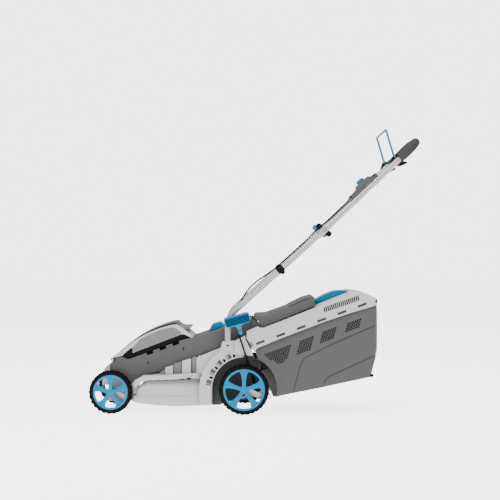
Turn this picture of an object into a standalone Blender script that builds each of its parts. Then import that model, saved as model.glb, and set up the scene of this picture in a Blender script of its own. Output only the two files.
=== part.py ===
"""Cordless rotary lawn mower with a rear grass collector, in metres with +Z up.

+X points to the rear, where the handle is, -Y is the operator's left, and the ground is z = 0.
Each sub-part is one named object. Side views are drawn in (x, z) and plan views in (x, y).
"""

from math import asin, cos, degrees, pi, radians, sin

import bmesh
import bpy
from mathutils import Matrix, Vector

# ---- driving dimensions ----
GAP = 0.0004            # clearance left between pieces that rest on each other
WHEEL_SIDES = 32        # a flat facet of each tyre meets the ground
REAR_R, REAR_X, REAR_IN, REAR_OUT = 0.0885, -0.0406, 0.1730, 0.2150
FRONT_R, FRONT_X, FRONT_IN, FRONT_OUT = 0.0768, -0.5125, 0.1420, 0.1800
REAR_Z = REAR_R * cos(pi / WHEEL_SIDES)
FRONT_Z = FRONT_R * cos(pi / WHEEL_SIDES)
CRANK_BACK, CRANK_DOWN = 0.0535, 0.0250      # from a wheel's axle to its crank's pivot
REAR_PIVOT = (REAR_X + CRANK_BACK, REAR_Z - CRANK_DOWN)
FRONT_PIVOT = (FRONT_X + CRANK_BACK, FRONT_Z - CRANK_DOWN)
AXLE_R = 0.0060
LINK_ARM, LINK_ANGLE, LINK_Y = 0.0920, 65, -0.1225
BLADE_X, BLADE_R = -0.2950, 0.1850
DRUM_R = 0.1970         # outside of the round blade housing
DECK_BOTTOM, DECK_TOP, DECK_WALL = 0.0300, 0.1300, 0.0040
DECK_FRONT, DECK_NOSE_Y, DECK_REAR_Y = -0.5250, 0.1320, 0.1560
CHUTE_Y = 0.1120        # half width of the discharge chute
COVER_Y, LID_Y = 0.1360, 0.1280
ARCH_IN, ARCH_OUT = 0.1575, 0.1860
TUBE_R, LOWER_Y, UPPER_Y = 0.0110, 0.1750, 0.1990
FOLD = (0.2420, 0.6500)  # axis of the folding handle, in (x, z)
HANDLE_TOP = (0.5010, 0.8950)
ROD_Y = 0.2005          # plane of the height lever outside the arch
COLLECTOR_Y, COLLECTOR_LID_Y = 0.1800, 0.1850
FLAP_AXIS = (0.0010, 0.3380)
LID_AXIS = (-0.5110, 0.1885)

for old in list(bpy.data.objects):
    bpy.data.objects.remove(old, do_unlink=True)


def collection(name):
    made = bpy.data.collections.new(name)
    bpy.context.scene.collection.children.link(made)
    return made


PARTS = collection("lawn_mower")
CUTTERS = collection("cutters")


# ---- materials ----
def material(name, colour, roughness, metallic=0.0):
    made = bpy.data.materials.new(name)
    made.use_nodes = True
    shader = made.node_tree.nodes["Principled BSDF"]
    shader.inputs["Base Color"].default_value = (*colour, 1.0)
    shader.inputs["Roughness"].default_value = roughness
    shader.inputs["Metallic"].default_value = metallic
    return made


LIGHT_GREY = material("light_grey_plastic", (0.58, 0.58, 0.58), 0.45)
MID_GREY = material("mid_grey_plastic", (0.16, 0.16, 0.16), 0.50)
BLUE = material("blue_plastic", (0.01, 0.46, 0.78), 0.40)
BLACK = material("black_plastic", (0.015, 0.015, 0.016), 0.50)
SMOKED = material("smoked_window", (0.02, 0.02, 0.02), 0.15)
RUBBER = material("tyre_rubber", (0.02, 0.02, 0.02), 0.80)
FOAM = material("grip_foam", (0.12, 0.12, 0.12), 0.90)
PAINTED = material("painted_tube", (0.52, 0.52, 0.54), 0.35, 0.4)
STEEL = material("steel", (0.55, 0.55, 0.56), 0.30, 1.0)
ALUMINIUM = material("cast_aluminium", (0.60, 0.60, 0.62), 0.45, 1.0)


# ---- modelling helpers ----
def place(name, mesh, finish=None):
    """Link a mesh as a part, or as a hidden cutter where it has no finish."""
    made = bpy.data.objects.new(name, mesh)
    (PARTS if finish else CUTTERS).objects.link(made)
    if finish:
        mesh.materials.append(finish)
    else:
        made.hide_render = True
        made.display_type = "WIRE"
    return made


def smooth(part, angle=35):
    part.data.shade_smooth()
    part.data.set_sharp_from_angle(angle=radians(angle))
    return part


def box(name, low, high, finish=None, bevel=0.0):
    low, high = Vector(low), Vector(high)
    shape = bmesh.new()
    bmesh.ops.create_cube(shape, size=1.0)
    bmesh.ops.scale(shape, vec=high - low, verts=shape.verts)
    bmesh.ops.translate(shape, vec=(low + high) / 2, verts=shape.verts)
    mesh = bpy.data.meshes.new(name)
    shape.to_mesh(mesh)
    shape.free()
    made = place(name, mesh, finish)
    if bevel:
        edge = made.modifiers.new("rounded_edges", "BEVEL")
        edge.width, edge.segments = bevel, 2
    return made


def cylinder(name, start, end, radius, finish=None, sides=24, end_radius=None):
    start, end = Vector(start), Vector(end)
    axis = end - start
    shape = bmesh.new()
    bmesh.ops.create_cone(
        shape, cap_ends=True, segments=sides, radius1=radius,
        radius2=radius if end_radius is None else end_radius, depth=axis.length,
    )
    turn = Vector((0, 0, 1)).rotation_difference(axis).to_matrix().to_4x4()
    bmesh.ops.transform(shape, matrix=Matrix.Translation((start + end) / 2) @ turn, verts=shape.verts)
    mesh = bpy.data.meshes.new(name)
    shape.to_mesh(mesh)
    shape.free()
    return smooth(place(name, mesh, finish))


def across(name, at, y_low, y_high, radius, finish=None, sides=24):
    """A cylinder that lies along Y at the side-view point at."""
    return cylinder(name, (at[0], y_low, at[1]), (at[0], y_high, at[1]), radius, finish, sides)


def curve_mesh(name, curve, matrix, finish):
    """Turn a curve into a welded mesh object in the same place, and remove the curve."""
    source = bpy.data.objects.new(name + "_curve", curve)
    bpy.context.scene.collection.objects.link(source)
    source.matrix_world = matrix
    bpy.context.view_layer.update()
    mesh = bpy.data.meshes.new_from_object(source.evaluated_get(bpy.context.evaluated_depsgraph_get()))
    mesh.materials.clear()
    shape = bmesh.new()
    shape.from_mesh(mesh)
    bmesh.ops.remove_doubles(shape, verts=shape.verts, dist=0.00001)
    bmesh.ops.transform(shape, matrix=matrix, verts=shape.verts)
    shape.to_mesh(mesh)
    shape.free()
    bpy.data.objects.remove(source, do_unlink=True)
    return place(name, mesh, finish)


def outline_curve(name, outline, depth):
    curve = bpy.data.curves.new(name, "CURVE")
    curve.dimensions, curve.fill_mode, curve.extrude = "2D", "BOTH", depth / 2
    line = curve.splines.new("POLY")
    line.points.add(len(outline) - 1)
    for point, (a, b) in zip(line.points, outline):
        point.co = (a, b, 0, 1)
    line.use_cyclic_u = True
    return curve


def side(name, outline, y_low, y_high, finish=None):
    """A side-view outline of (x, z) points, as thick as y_low to y_high."""
    middle = Matrix.Translation((0, (y_low + y_high) / 2, 0)) @ Matrix.Rotation(pi / 2, 4, "X")
    return curve_mesh(name, outline_curve(name, outline, y_high - y_low), middle, finish)


def plan(name, outline, z_low, z_high, finish=None):
    """A plan-view outline of (x, y) points, as thick as z_low to z_high."""
    middle = Matrix.Translation((0, 0, (z_low + z_high) / 2))
    return curve_mesh(name, outline_curve(name, outline, z_high - z_low), middle, finish)


def tube(name, points, radius, finish=None, resolution=2):
    curve = bpy.data.curves.new(name, "CURVE")
    curve.dimensions, curve.bevel_depth, curve.bevel_resolution = "3D", radius, resolution
    curve.use_fill_caps = True
    line = curve.splines.new("POLY")
    line.points.add(len(points) - 1)
    for point, place_at in zip(line.points, points):
        point.co = (*place_at, 1)
    return smooth(curve_mesh(name, curve, Matrix.Identity(4), finish), 50)


def turned(name, profile, at, y_from, direction, finish=None, sides=WHEEL_SIDES):
    """Turn (radius, distance) points about the line along Y through at."""
    mesh = bpy.data.meshes.new(name)
    shape = bmesh.new()
    half_step = pi / sides    # leaves a flat facet at the bottom
    across_start, along_start = cos(half_step), sin(half_step)
    ring = [
        shape.verts.new((radius * across_start, radius * along_start, height))
        for radius, height in profile
    ]
    for a, b in zip(ring, ring[1:] + ring[:1]):
        shape.edges.new((a, b))
    shape.to_mesh(mesh)
    shape.free()
    made = place(name, mesh, finish)
    made.rotation_euler = (-direction * pi / 2, 0, 0)
    made.location = (at[0], y_from, at[1])
    screw = made.modifiers.new("turned", "SCREW")
    screw.steps = screw.render_steps = sides
    screw.use_merge_vertices, screw.merge_threshold = True, 0.0001
    screw.use_normal_calculate = True
    return made


def boolean(part, cutters, operation):
    for cutter in cutters:
        step = part.modifiers.new(operation.lower(), "BOOLEAN")
        step.operation, step.object = operation, cutter
    return part


def cut(part, *cutters):
    return boolean(part, cutters, "DIFFERENCE")


def join(part, *others):
    return boolean(part, others, "UNION")


def keep(part, *others):
    return boolean(part, others, "INTERSECT")


def arc(centre, radius, start, end, count):
    """Points on an arc, from start to end degrees."""
    turns = [radians(start + (end - start) * i / (count - 1)) for i in range(count)]
    return [(centre[0] + radius * cos(a), centre[1] + radius * sin(a)) for a in turns]


def rounded(points, radius, count=4):
    """Round the corners of an open line of 3-D points with arcs of about the given radius."""
    out = [Vector(points[0])]
    for before, corner, after in zip(points, points[1:], points[2:]):
        before, corner, after = Vector(before), Vector(corner), Vector(after)
        start = corner + (before - corner).normalized() * radius
        end = corner + (after - corner).normalized() * radius
        for i in range(count + 1):
            s = i / count
            out.append(start.lerp(corner, s).lerp(corner.lerp(end, s), s))
    return out + [Vector(points[-1])]


SIDES = (("left", -1), ("right", 1))


def span(sign, inner, outer):
    """The Y range from inner to outer on one side, lowest first."""
    return (inner, outer) if sign > 0 else (-outer, -inner)


# ---- deck ----
MOUTH_TOP = (-0.0240, 0.2360)
FLOOR_FRONT, FLOOR_REAR = (-0.1000, 0.0420), (0.0350, 0.0800)


def deck_outline(inset):
    """Plan of the deck: nose between the front wheels, round blade housing, and rear body."""
    radius = DRUM_R - inset
    nose_y, rear_y, front = DECK_NOSE_Y - inset, DECK_REAR_Y - inset, DECK_FRONT + inset
    half = [(front, 0.1200 - inset), (front + 0.0120, nose_y)]
    half += arc((BLADE_X, 0), radius, 180 - degrees(asin(nose_y / radius)), degrees(asin(rear_y / radius)), 9)
    half.append((0.0240, rear_y))
    return half + [(x, -y) for x, y in reversed(half)]


def chute_outline(inset, past_mouth):
    """Side view of the discharge chute, which rises to the collector's mouth."""
    return [
        (-0.1680 + inset, 0.1400), (-0.0950 + inset, 0.2180 - inset),
        (MOUTH_TOP[0] + past_mouth, MOUTH_TOP[1] - inset),
        (FLOOR_REAR[0] + past_mouth, FLOOR_REAR[1] + inset), (FLOOR_FRONT[0], FLOOR_FRONT[1] + inset),
        (-0.1680 + inset, FLOOR_FRONT[1] + inset),
    ]


deck = plan("deck_shell", deck_outline(0), DECK_BOTTOM, DECK_TOP, LIGHT_GREY)
chute = side("chute_cutter", chute_outline(0, 0), -CHUTE_Y, CHUTE_Y)
chamber_ring = arc((BLADE_X, 0), DRUM_R - DECK_WALL, 0, 337.5, 16)
chamber = plan("chamber_cutter", chamber_ring, 0.0, DECK_TOP - DECK_WALL)
nose = box("nose_cutter", (DECK_FRONT + 0.0115, -0.1282, 0.0), (-0.4400, 0.1282, DECK_TOP - 0.005))
snout = box("snout_cutter", (DECK_FRONT + DECK_WALL, -0.0960, 0.0), (-0.48, 0.0960, DECK_TOP - 0.006))
bore = side("chute_bore_cutter", chute_outline(DECK_WALL, 0.0300), -CHUTE_Y + DECK_WALL, CHUTE_Y - DECK_WALL)
axle_room = side(
    "axle_room_cutter",
    [(-0.0920, 0.0), (-0.0920, 0.0400), (0.0205, 0.0710), (0.0205, 0.0)], -0.152, 0.152,
)
pockets = []
for name, sign in SIDES:
    low_y, high_y = span(sign, CHUTE_Y + 0.0005, 0.152)
    pockets.append(box(f"pocket_cutter_{name}", (-0.1600, low_y, 0.010), (0.0200, high_y, DECK_TOP - 0.0045)))
join(deck, chute)
cut(deck, chamber, nose, snout, bore, axle_room, *pockets)
cut(deck, across("rear_axle_cutter", REAR_PIVOT, -0.17, 0.17, 0.0080, sides=16))
cut(deck, across("front_axle_cutter", FRONT_PIVOT, -0.15, 0.15, 0.0080, sides=16))
cut(deck, cylinder("shaft_cutter", (BLADE_X, 0, 0.10), (BLADE_X, 0, 0.15), 0.0120))
ARM_REACH = LINK_ARM * cos(radians(LINK_ANGLE))
for name, pivot in (("rear", REAR_PIVOT), ("front", FRONT_PIVOT)):
    cut(deck, box(
        f"{name}_tab_slot_cutter", (pivot[0] - ARM_REACH - 0.010, LINK_Y - 0.0055, 0.0400),
        (pivot[0] + ARM_REACH + 0.010, LINK_Y + 0.0055, 0.1450),
    ))

join(deck, box("bumper_cutter", (-0.5480, -0.0980, 0.0950), (DECK_FRONT + 0.0020, 0.0980, 0.1290)))
join(deck, box("bumper_lip_cutter", (-0.5475, -0.0975, 0.1200), (DECK_FRONT + 0.0050, 0.0975, 0.1700)))

# ---- side rails with their stepped ribs ----
RAIL = [(-0.4300, 0.1304), (-0.3950, 0.1360), (-0.2050, 0.1440), (-0.2050, 0.1304)]
RIBS = (
    (-0.3200, -0.2920, 0.1640, 0.1550),
    (-0.2900, -0.2620, 0.1780, 0.1580),
    (-0.2600, -0.2290, 0.1930, 0.1640),
)
for name, sign in SIDES:
    rail = side(f"side_rail_{name}", RAIL, *span(sign, COVER_Y + 0.0006, 0.1990), LIGHT_GREY)
    keep(rail, cylinder(f"rail_edge_cutter_{name}", (BLADE_X, 0, 0.10), (BLADE_X, 0, 0.20), 0.1900, sides=48))
    for number, (x_low, x_high, top, outer) in enumerate(RIBS):
        low_y, high_y = span(sign, COVER_Y + 0.0008, outer)
        join(rail, box(f"rib_cutter_{name}_{number}", (x_low, low_y, 0.1330), (x_high, high_y, top)))

# ---- rear wheel arches, each with the handle's foot socket ----
REAR_C = (REAR_X, REAR_Z)
ARCH = (
    [(-0.1990, 0.0330), (-0.1990, 0.0900)]
    + arc(REAR_C, 0.1580, 176, 122, 8)
    + [(-0.1180, 0.2450), (-0.1180, 0.2560), (-0.0440, 0.2600)]
    + arc(REAR_C, 0.1130, 90, 180, 10)
    + [(-0.1590, 0.0330)]
)
SOCKET = (-0.0980, 0.2350)
FOOT_SCREW = (SOCKET[0], 0.2430)
for name, sign in SIDES:
    arch = side(f"wheel_arch_{name}", ARCH, *span(sign, ARCH_IN, ARCH_OUT), LIGHT_GREY)
    drum_foot, drum_top = (BLADE_X, 0, 0), (BLADE_X, 0, DECK_TOP + GAP)
    cut(arch, cylinder(f"arch_drum_cutter_{name}", drum_foot, drum_top, DRUM_R + GAP, sides=64))
    low_y, high_y = span(sign, ARCH_IN + 0.0010, 0.1925)
    join(arch, box(f"bracket_cutter_{name}", (-0.1170, low_y, 0.2250), (-0.0790, high_y, 0.2590)))
    cut(arch, cylinder(
        f"socket_cutter_{name}", (SOCKET[0], sign * LOWER_Y, SOCKET[1] - 0.001),
        (SOCKET[0], sign * LOWER_Y, 0.27), 0.0118))
    cut(arch, across(f"foot_screw_cutter_{name}", FOOT_SCREW, *span(sign, 0.17, 0.20), 0.0034, sides=12))

# ---- top cover with its battery bay ----
COVER = [
    (-0.5160, 0.1790), (-0.5160, 0.1310), (-0.3900, 0.1310), (-0.3390, 0.1460), (-0.1790, 0.2120),
    (-0.1120, 0.2390), (-0.0300, 0.2620), (0.0040, 0.2900), (-0.0120, 0.3260), (-0.0120, 0.3360),
    (-0.0500, 0.3250), (-0.1650, 0.2850), (-0.2150, 0.2670), (-0.2530, 0.2620), (-0.4560, 0.1890),
    (-0.4830, 0.1900), (-0.5030, 0.1790),
]
BAY_ANGLE = radians(19.8)


def bay(along, above):
    """A side-view point measured along and above the sloping edge of the battery bay."""
    return (
        -0.4560 + along * cos(BAY_ANGLE) - above * sin(BAY_ANGLE),
        0.1890 + along * sin(BAY_ANGLE) + above * cos(BAY_ANGLE),
    )


def bay_box(along_low, along_high, low, high):
    return [bay(along_low, low), bay(along_high, low), bay(along_high, high), bay(along_low, high)]


COVER_HOLLOW = [
    (-0.5130, 0.1000), (-0.5130, 0.1770), (-0.4830, 0.1860), (-0.4560, 0.1850), (-0.2530, 0.2580),
    (-0.2150, 0.2630), (-0.1650, 0.2810), (-0.0500, 0.3205), (-0.0220, 0.3290), (-0.0100, 0.2910),
    (-0.0300, 0.2660), (-0.0300, 0.1000),
]
cover = side("top_cover", COVER, -COVER_Y, COVER_Y, MID_GREY)
cut(cover, side("cover_hollow_cutter", COVER_HOLLOW, -COVER_Y + 0.003, COVER_Y - 0.003))
cut(cover, side("bay_cutter", bay_box(0.004, 0.2080, -0.020, 0.030), -0.1150, 0.1150))
COVER_REAR_ROOM = [(-0.0335, 0.20), (-0.0335, 0.2580), (0.020, 0.2700), (0.020, 0.20)]
cut(cover, side("cover_rear_cutter", COVER_REAR_ROOM, -0.2, 0.2))
cut(cover, box("hand_room_cutter", (-0.1545, -0.0460, 0.2600), (-0.1200, 0.0460, 0.3300)))
LUG_Y = 0.0350
join(cover, box("lid_lug_foot_cutter", (-0.5158, -LUG_Y, 0.1700), (-0.5060, LUG_Y, LID_AXIS[1])))
join(cover, across("lid_lug_cutter", LID_AXIS, -LUG_Y + 0.0002, LUG_Y - 0.0002, 0.0065, sides=16))
cut(cover, across("lid_lug_bore_cutter", LID_AXIS, -0.05, 0.05, 0.0029, sides=16))

tray = side("battery_tray", bay_box(0.0050, 0.2070, -0.0280, 0.0060), -0.1140, 0.1140, BLACK)
cut(tray, side("tray_hollow_cutter", bay_box(0.0075, 0.2045, -0.0255, 0.030), -0.1115, 0.1115))
for number, sign in ((1, -1), (2, 1)):
    low_y, high_y = span(sign, 0.0120, 0.0880)
    side(f"battery_{number}", bay_box(0.0350, 0.1700, -0.0250, 0.0180), low_y, high_y, BLACK)
side("safety_key", bay_box(0.1790, 0.1990, -0.0240, 0.0120), -0.1080, -0.1020, BLUE)

# ---- battery lid ----
LID_TOP = [
    (-0.5130, 0.1960), (-0.4810, 0.2190), (-0.4450, 0.2480), (-0.4100, 0.2700), (-0.3750, 0.2880),
    (-0.3390, 0.3020), (-0.3040, 0.3120), (-0.2840, 0.3150), (-0.2640, 0.3020),
]
LID = LID_TOP + [
    (-0.2310, 0.3020), (-0.2310, 0.2990), (-0.2500, 0.2960), (-0.2210, 0.2670), (-0.2530, 0.2660),
    (-0.4350, 0.2080), (-0.4700, 0.2000), (-0.5130, 0.1930),
]
LID_HOLLOW = [
    (-0.4900, 0.2090), (-0.4450, 0.2445), (-0.4100, 0.2665), (-0.3750, 0.2845), (-0.3390, 0.2985),
    (-0.3040, 0.3085), (-0.2850, 0.3110), (-0.2530, 0.2860), (-0.2300, 0.2620), (-0.2300, 0.2300),
    (-0.4900, 0.1500),
]
lid = side("battery_lid", LID, -LID_Y, LID_Y, LIGHT_GREY)
cut(lid, side("lid_hollow_cutter", LID_HOLLOW, -LID_Y + 0.003, LID_Y - 0.003))
WINDOW = [(-0.4300, 0.2580), (-0.4100, 0.2700), (-0.3750, 0.2880), (-0.3390, 0.3020), (-0.3080, 0.3110)]
window_low = [(x + 0.0010, z - 0.0025) for x, z in reversed(WINDOW)]
window_high = [(x, z + 0.0020) for x, z in WINDOW]
cut(lid, box("window_cutter", (-0.4305, -0.0955, 0.24), (-0.3065, 0.0955, 0.33)))
side("lid_window", window_high + window_low, -0.0950, 0.0950, SMOKED)
for name, sign in SIDES:
    low_y, high_y = span(sign, LUG_Y + 0.001, 0.1200)
    join(lid, across(f"lid_barrel_cutter_{name}", LID_AXIS, low_y, high_y, 0.0062, sides=16))
cut(lid, across("lid_bore_cutter", LID_AXIS, -0.13, 0.13, 0.0029, sides=16))
cut(lid, across("lid_lug_room_cutter", LID_AXIS, -LUG_Y - 0.001, LUG_Y + 0.001, 0.0080, sides=16))
across("lid_hinge_pin", LID_AXIS, -0.1190, 0.1190, 0.0025, STEEL, 12)

# ---- carry handle ----
CARRY = [
    (-0.1680, 0.2860), (-0.1590, 0.3060), (-0.1530, 0.3120),
    (-0.1290, 0.3180), (-0.1210, 0.3160), (-0.1120, 0.3060),
]
carry = side("carry_handle", CARRY, -0.0650, 0.0650, BLUE)
CARRY_GAP = [(-0.20, 0.26), (-0.20, 0.2935), (-0.08, 0.3080), (-0.08, 0.26)]
cut(carry, side("carry_gap_cutter", CARRY_GAP, -0.0500, 0.0500))

# ---- motor, blade and controller ----
MOTOR_Z = DECK_TOP + GAP
motor = cylinder("motor", (BLADE_X, 0, MOTOR_Z), (BLADE_X, 0, 0.1930), 0.0550, BLACK, 32)
cut(motor, cylinder("motor_bore_cutter", (BLADE_X, 0, 0.12), (BLADE_X, 0, 0.1900), 0.0080, sides=16))
cylinder("motor_shaft", (BLADE_X, 0, 0.0620), (BLADE_X, 0, 0.1890), 0.0075, STEEL, 16)
fan = cylinder("blade_fan", (BLADE_X, 0, 0.0479), (BLADE_X, 0, 0.0900), 0.0250, ALUMINIUM)
join(fan, cylinder("fan_disc_cutter", (BLADE_X, 0, 0.0641), (BLADE_X, 0, 0.0680), 0.0650, sides=32))
cut(fan, cylinder("fan_bore_cutter", (BLADE_X, 0, 0.04), (BLADE_X, 0, 0.10), 0.0079, sides=16))
BLADE = [
    (-BLADE_R + 0.004, -0.0230), (BLADE_R - 0.015, -0.0230),
    (BLADE_R - 0.004, 0.0120), (BLADE_R - 0.012, 0.0230),
    (-BLADE_R + 0.015, 0.0230), (-BLADE_R + 0.004, -0.0120),
]
blade = plan("blade", [(BLADE_X + a, b) for a, b in BLADE], 0.0440, 0.0475, STEEL)
cut(blade, cylinder("blade_bore_cutter", (BLADE_X, 0, 0.03), (BLADE_X, 0, 0.06), 0.0054, sides=16))
bolt = cylinder("blade_bolt", (BLADE_X, 0, 0.0360), (BLADE_X, 0, 0.0436), 0.0110, STEEL, 6)
join(bolt, cylinder("bolt_stem_cutter", (BLADE_X, 0, 0.0400), (BLADE_X, 0, 0.0612), 0.0050, sides=16))
box("speed_controller", (-0.2280, -0.0450, DECK_TOP + GAP), (-0.1720, 0.0450, 0.1850), BLACK, 0.003)

# ---- height adjustment: crank axles, link rod and lever ----
def bar_between(name, first, second, half_width, y_low, y_high):
    """A straight flat bar in the side view, between two points."""
    first, second = Vector(first), Vector(second)
    along = (second - first).normalized()
    over = Vector((-along.y, along.x)) * half_width
    corners = (first - over, second - over, second + over, first + over)
    return side(name, [tuple(corner) for corner in corners], y_low, y_high)


def crank(name, pivot, wheel, arm, wheel_out, shaft_ahead):
    """A cross shaft, with an arm and a stub axle at each end, and one tab for the link rod.

    The shaft lies shaft_ahead of the pivot, towards the wheel's axle, to pass in front of the blade."""
    towards = (Vector(wheel) - Vector(pivot)).normalized()
    shaft = tuple(Vector(pivot) + towards * shaft_ahead)
    reach = 0.1235 if shaft_ahead else arm[0] + 0.001
    made = across(name, shaft, -reach, reach, AXLE_R, STEEL, 16)
    for label, sign in SIDES:
        if shaft_ahead:
            inner = span(sign, 0.1195, 0.1260)
            journal = span(sign, 0.1185, arm[0] + 0.001)
            join(made, bar_between(f"{name}_inner_cutter_{label}", pivot, shaft, 0.0080, *inner))
            join(made, across(f"{name}_pivot_cutter_{label}", pivot, *journal, AXLE_R + 0.0003, sides=16))
        join(made, bar_between(f"{name}_arm_cutter_{label}", pivot, wheel, 0.0100, *span(sign, *arm)))
        boss = span(sign, arm[0] + 0.0002, arm[1] - 0.0002)
        stub = span(sign, arm[1] - 0.002, wheel_out)
        join(made, across(f"{name}_boss_cutter_{label}", pivot, *boss, 0.0120, sides=16))
        join(made, across(f"{name}_stub_cutter_{label}", wheel, *stub, AXLE_R, sides=16))
    turn = radians(LINK_ANGLE)
    along = Vector((cos(turn), sin(turn)))
    pin = tuple(Vector(pivot) + along * LINK_ARM)
    foot, head = Vector(pivot) - along * 0.003, Vector(pin) + along * 0.006
    join(made, bar_between(f"{name}_tab_cutter", foot, head, 0.0062, LINK_Y - 0.0022, LINK_Y + 0.0022))
    cut(made, across(f"{name}_pin_hole_cutter", pin, LINK_Y - 0.01, LINK_Y + 0.01, 0.0027, sides=12))
    return pin


REAR_ARM, FRONT_ARM = (0.1600, 0.1660), (0.1345, 0.1395)
rear_pin = crank("rear_axle", REAR_PIVOT, REAR_C, REAR_ARM, 0.2050, 0.0)
FRONT_C = (FRONT_X, FRONT_Z)
front_pin = crank("front_axle", FRONT_PIVOT, FRONT_C, FRONT_ARM, 0.1700, 0.0460)
LINK_SIDE = LINK_Y - 0.0060
tube("link_rod", [
    (rear_pin[0], LINK_Y + 0.0028, rear_pin[1]), (rear_pin[0], LINK_SIDE, rear_pin[1]),
    (front_pin[0], LINK_SIDE, front_pin[1]), (front_pin[0], LINK_Y + 0.0028, front_pin[1]),
], 0.0020, STEEL, 1)

ROD = rounded([
    (0.0040, -0.1640, REAR_PIVOT[1] + 0.0190), (-0.0270, -0.1640, 0.1820),
    (-0.0310, -ROD_Y, 0.1980), (-0.0580, -ROD_Y, 0.2790),
], 0.007, 3)
tube("height_lever_rod", ROD, 0.0033, BLACK)
grip_turn = radians(15)
grip_along, grip_over = Vector((cos(grip_turn), sin(grip_turn))), Vector((-sin(grip_turn), cos(grip_turn)))


def grip_point(a, b):
    point = Vector((-0.0650, 0.3340)) + grip_along * a + grip_over * b
    return (point.x, point.y)


LEVER_GRIP = [
    (-0.0470, -0.0100), (-0.0400, -0.0185), (-0.0040, -0.0200), (-0.0060, -0.0530), (0.0075, -0.0545),
    (0.0110, -0.0200), (0.0400, -0.0185), (0.0470, -0.0100), (0.0470, 0.0130), (0.0400, 0.0185),
    (-0.0400, 0.0185), (-0.0470, 0.0130),
]
side("height_lever_grip", [grip_point(a, b) for a, b in LEVER_GRIP], -0.2145, -0.1945, BLUE)

# ---- wheels: tyre, rim and retaining cap ----
def wheel(name, sign, at, radius, inner, outer):
    width = outer - inner
    tread = radius - 0.0105
    profile = [
        (tread, 0.0), (radius - 0.003, 0.001), (radius, 0.005), (radius, width - 0.005),
        (radius - 0.003, width - 0.001), (tread, width),
    ]
    start = sign * inner
    turned(f"tyre_{name}", profile, at, start, sign, RUBBER)
    rim_out = tread - GAP
    rim_in = rim_out - 0.004
    ring = [(rim_in, 0.002), (rim_out, 0.002), (rim_out, width - 0.002), (rim_in, width - 0.002)]
    rim = turned(f"rim_{name}", ring, at, start, sign, BLUE)
    join(rim, across(f"hub_cutter_{name}", at, *span(sign, inner + 0.0012, outer - 0.010), 0.0150, sides=20))
    for spoke in range(5):
        turn = Matrix.Rotation(radians(90 + 72 * spoke), 2)
        corners = [(0.009, -0.007), (rim_out - 0.002, -0.0115), (rim_out - 0.002, 0.0115), (0.009, 0.007)]
        outline = [tuple(Vector(at) + turn @ Vector(c)) for c in corners]
        join(rim, side(f"spoke_cutter_{name}_{spoke}", outline, *span(sign, outer - 0.020, outer - 0.012)))
    bore_span = span(sign, inner - 0.01, outer + 0.01)
    cut(rim, across(f"rim_bore_cutter_{name}", at, *bore_span, AXLE_R + 0.0004, sides=16))
    across(f"wheel_cap_{name}", at, *span(sign, outer - 0.0094, outer - 0.0030), 0.0140, BLUE, 20)


for name, sign in SIDES:
    wheel(f"rear_{name}", sign, REAR_C, REAR_R, REAR_IN, REAR_OUT)
    wheel(f"front_{name}", sign, FRONT_C, FRONT_R, FRONT_IN, FRONT_OUT)

# ---- folding handle ----
LENGTHWAYS = (Vector(HANDLE_TOP) - Vector(FOLD)).normalized()
ABOVE = Vector((-LENGTHWAYS.y, LENGTHWAYS.x))


def on_tube(along, above):
    """A side-view point measured along the upper tube from the fold, and above the tube's axis."""
    point = Vector(FOLD) + LENGTHWAYS * along + ABOVE * above
    return (point.x, point.y)


low_slope = (Vector(FOLD) - Vector((-0.0730, 0.3650))).normalized()
low_end = Vector(FOLD) + low_slope * 0.0180
up_end = Vector(FOLD) - LENGTHWAYS * 0.0180
for name, sign in SIDES:
    route = [
        (SOCKET[0], sign * LOWER_Y, SOCKET[1]), (SOCKET[0], sign * LOWER_Y, 0.3420),
        (low_end.x, sign * LOWER_Y, low_end.y),
    ]
    lower = tube(f"lower_handle_{name}", rounded(route, 0.028, 4), TUBE_R, PAINTED)
    cut(lower, across(f"lower_bolt_cutter_{name}", FOLD, *span(sign, 0.15, 0.20), 0.0043, sides=16))
    screw_span = span(sign, 0.178, 0.20)
    cut(lower, across(f"lower_screw_cutter_{name}", FOOT_SCREW, *screw_span, 0.0030, sides=12))
U_TURN = [
    (HANDLE_TOP[0], UPPER_Y, HANDLE_TOP[1]), (0.5290, 0.1975, 0.9200),
    (0.5500, 0.1800, 0.9410), (0.5640, 0.1500, 0.9560),
    (0.5720, 0.1050, 0.9640), (0.5735, 0.0500, 0.9660),
]
near_half = [(x, -y, z) for x, y, z in U_TURN]
loop = [(up_end.x, -UPPER_Y, up_end.y)] + near_half + list(reversed(U_TURN)) + [(up_end.x, UPPER_Y, up_end.y)]
upper = tube("upper_handle", loop, TUBE_R, PAINTED)
for name, sign in SIDES:
    cut(upper, across(f"upper_bolt_cutter_{name}", FOLD, *span(sign, 0.18, 0.22), 0.0043, sides=16))
start_of_grip = on_tube(0.3660, 0)
grip_route = [(start_of_grip[0], -UPPER_Y, start_of_grip[1])] + near_half[1:] + list(reversed(U_TURN))[:-1]
grip_route.append((start_of_grip[0], UPPER_Y, start_of_grip[1]))
foam = tube("foam_grip", grip_route, 0.0155, FOAM)
longer = [(on_tube(0.340, 0)[0], -UPPER_Y, on_tube(0.340, 0)[1])] + grip_route[1:-1]
longer.append((longer[0][0], UPPER_Y, longer[0][2]))
cut(foam, tube("grip_bore_cutter", longer, TUBE_R + 0.0012))

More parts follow.
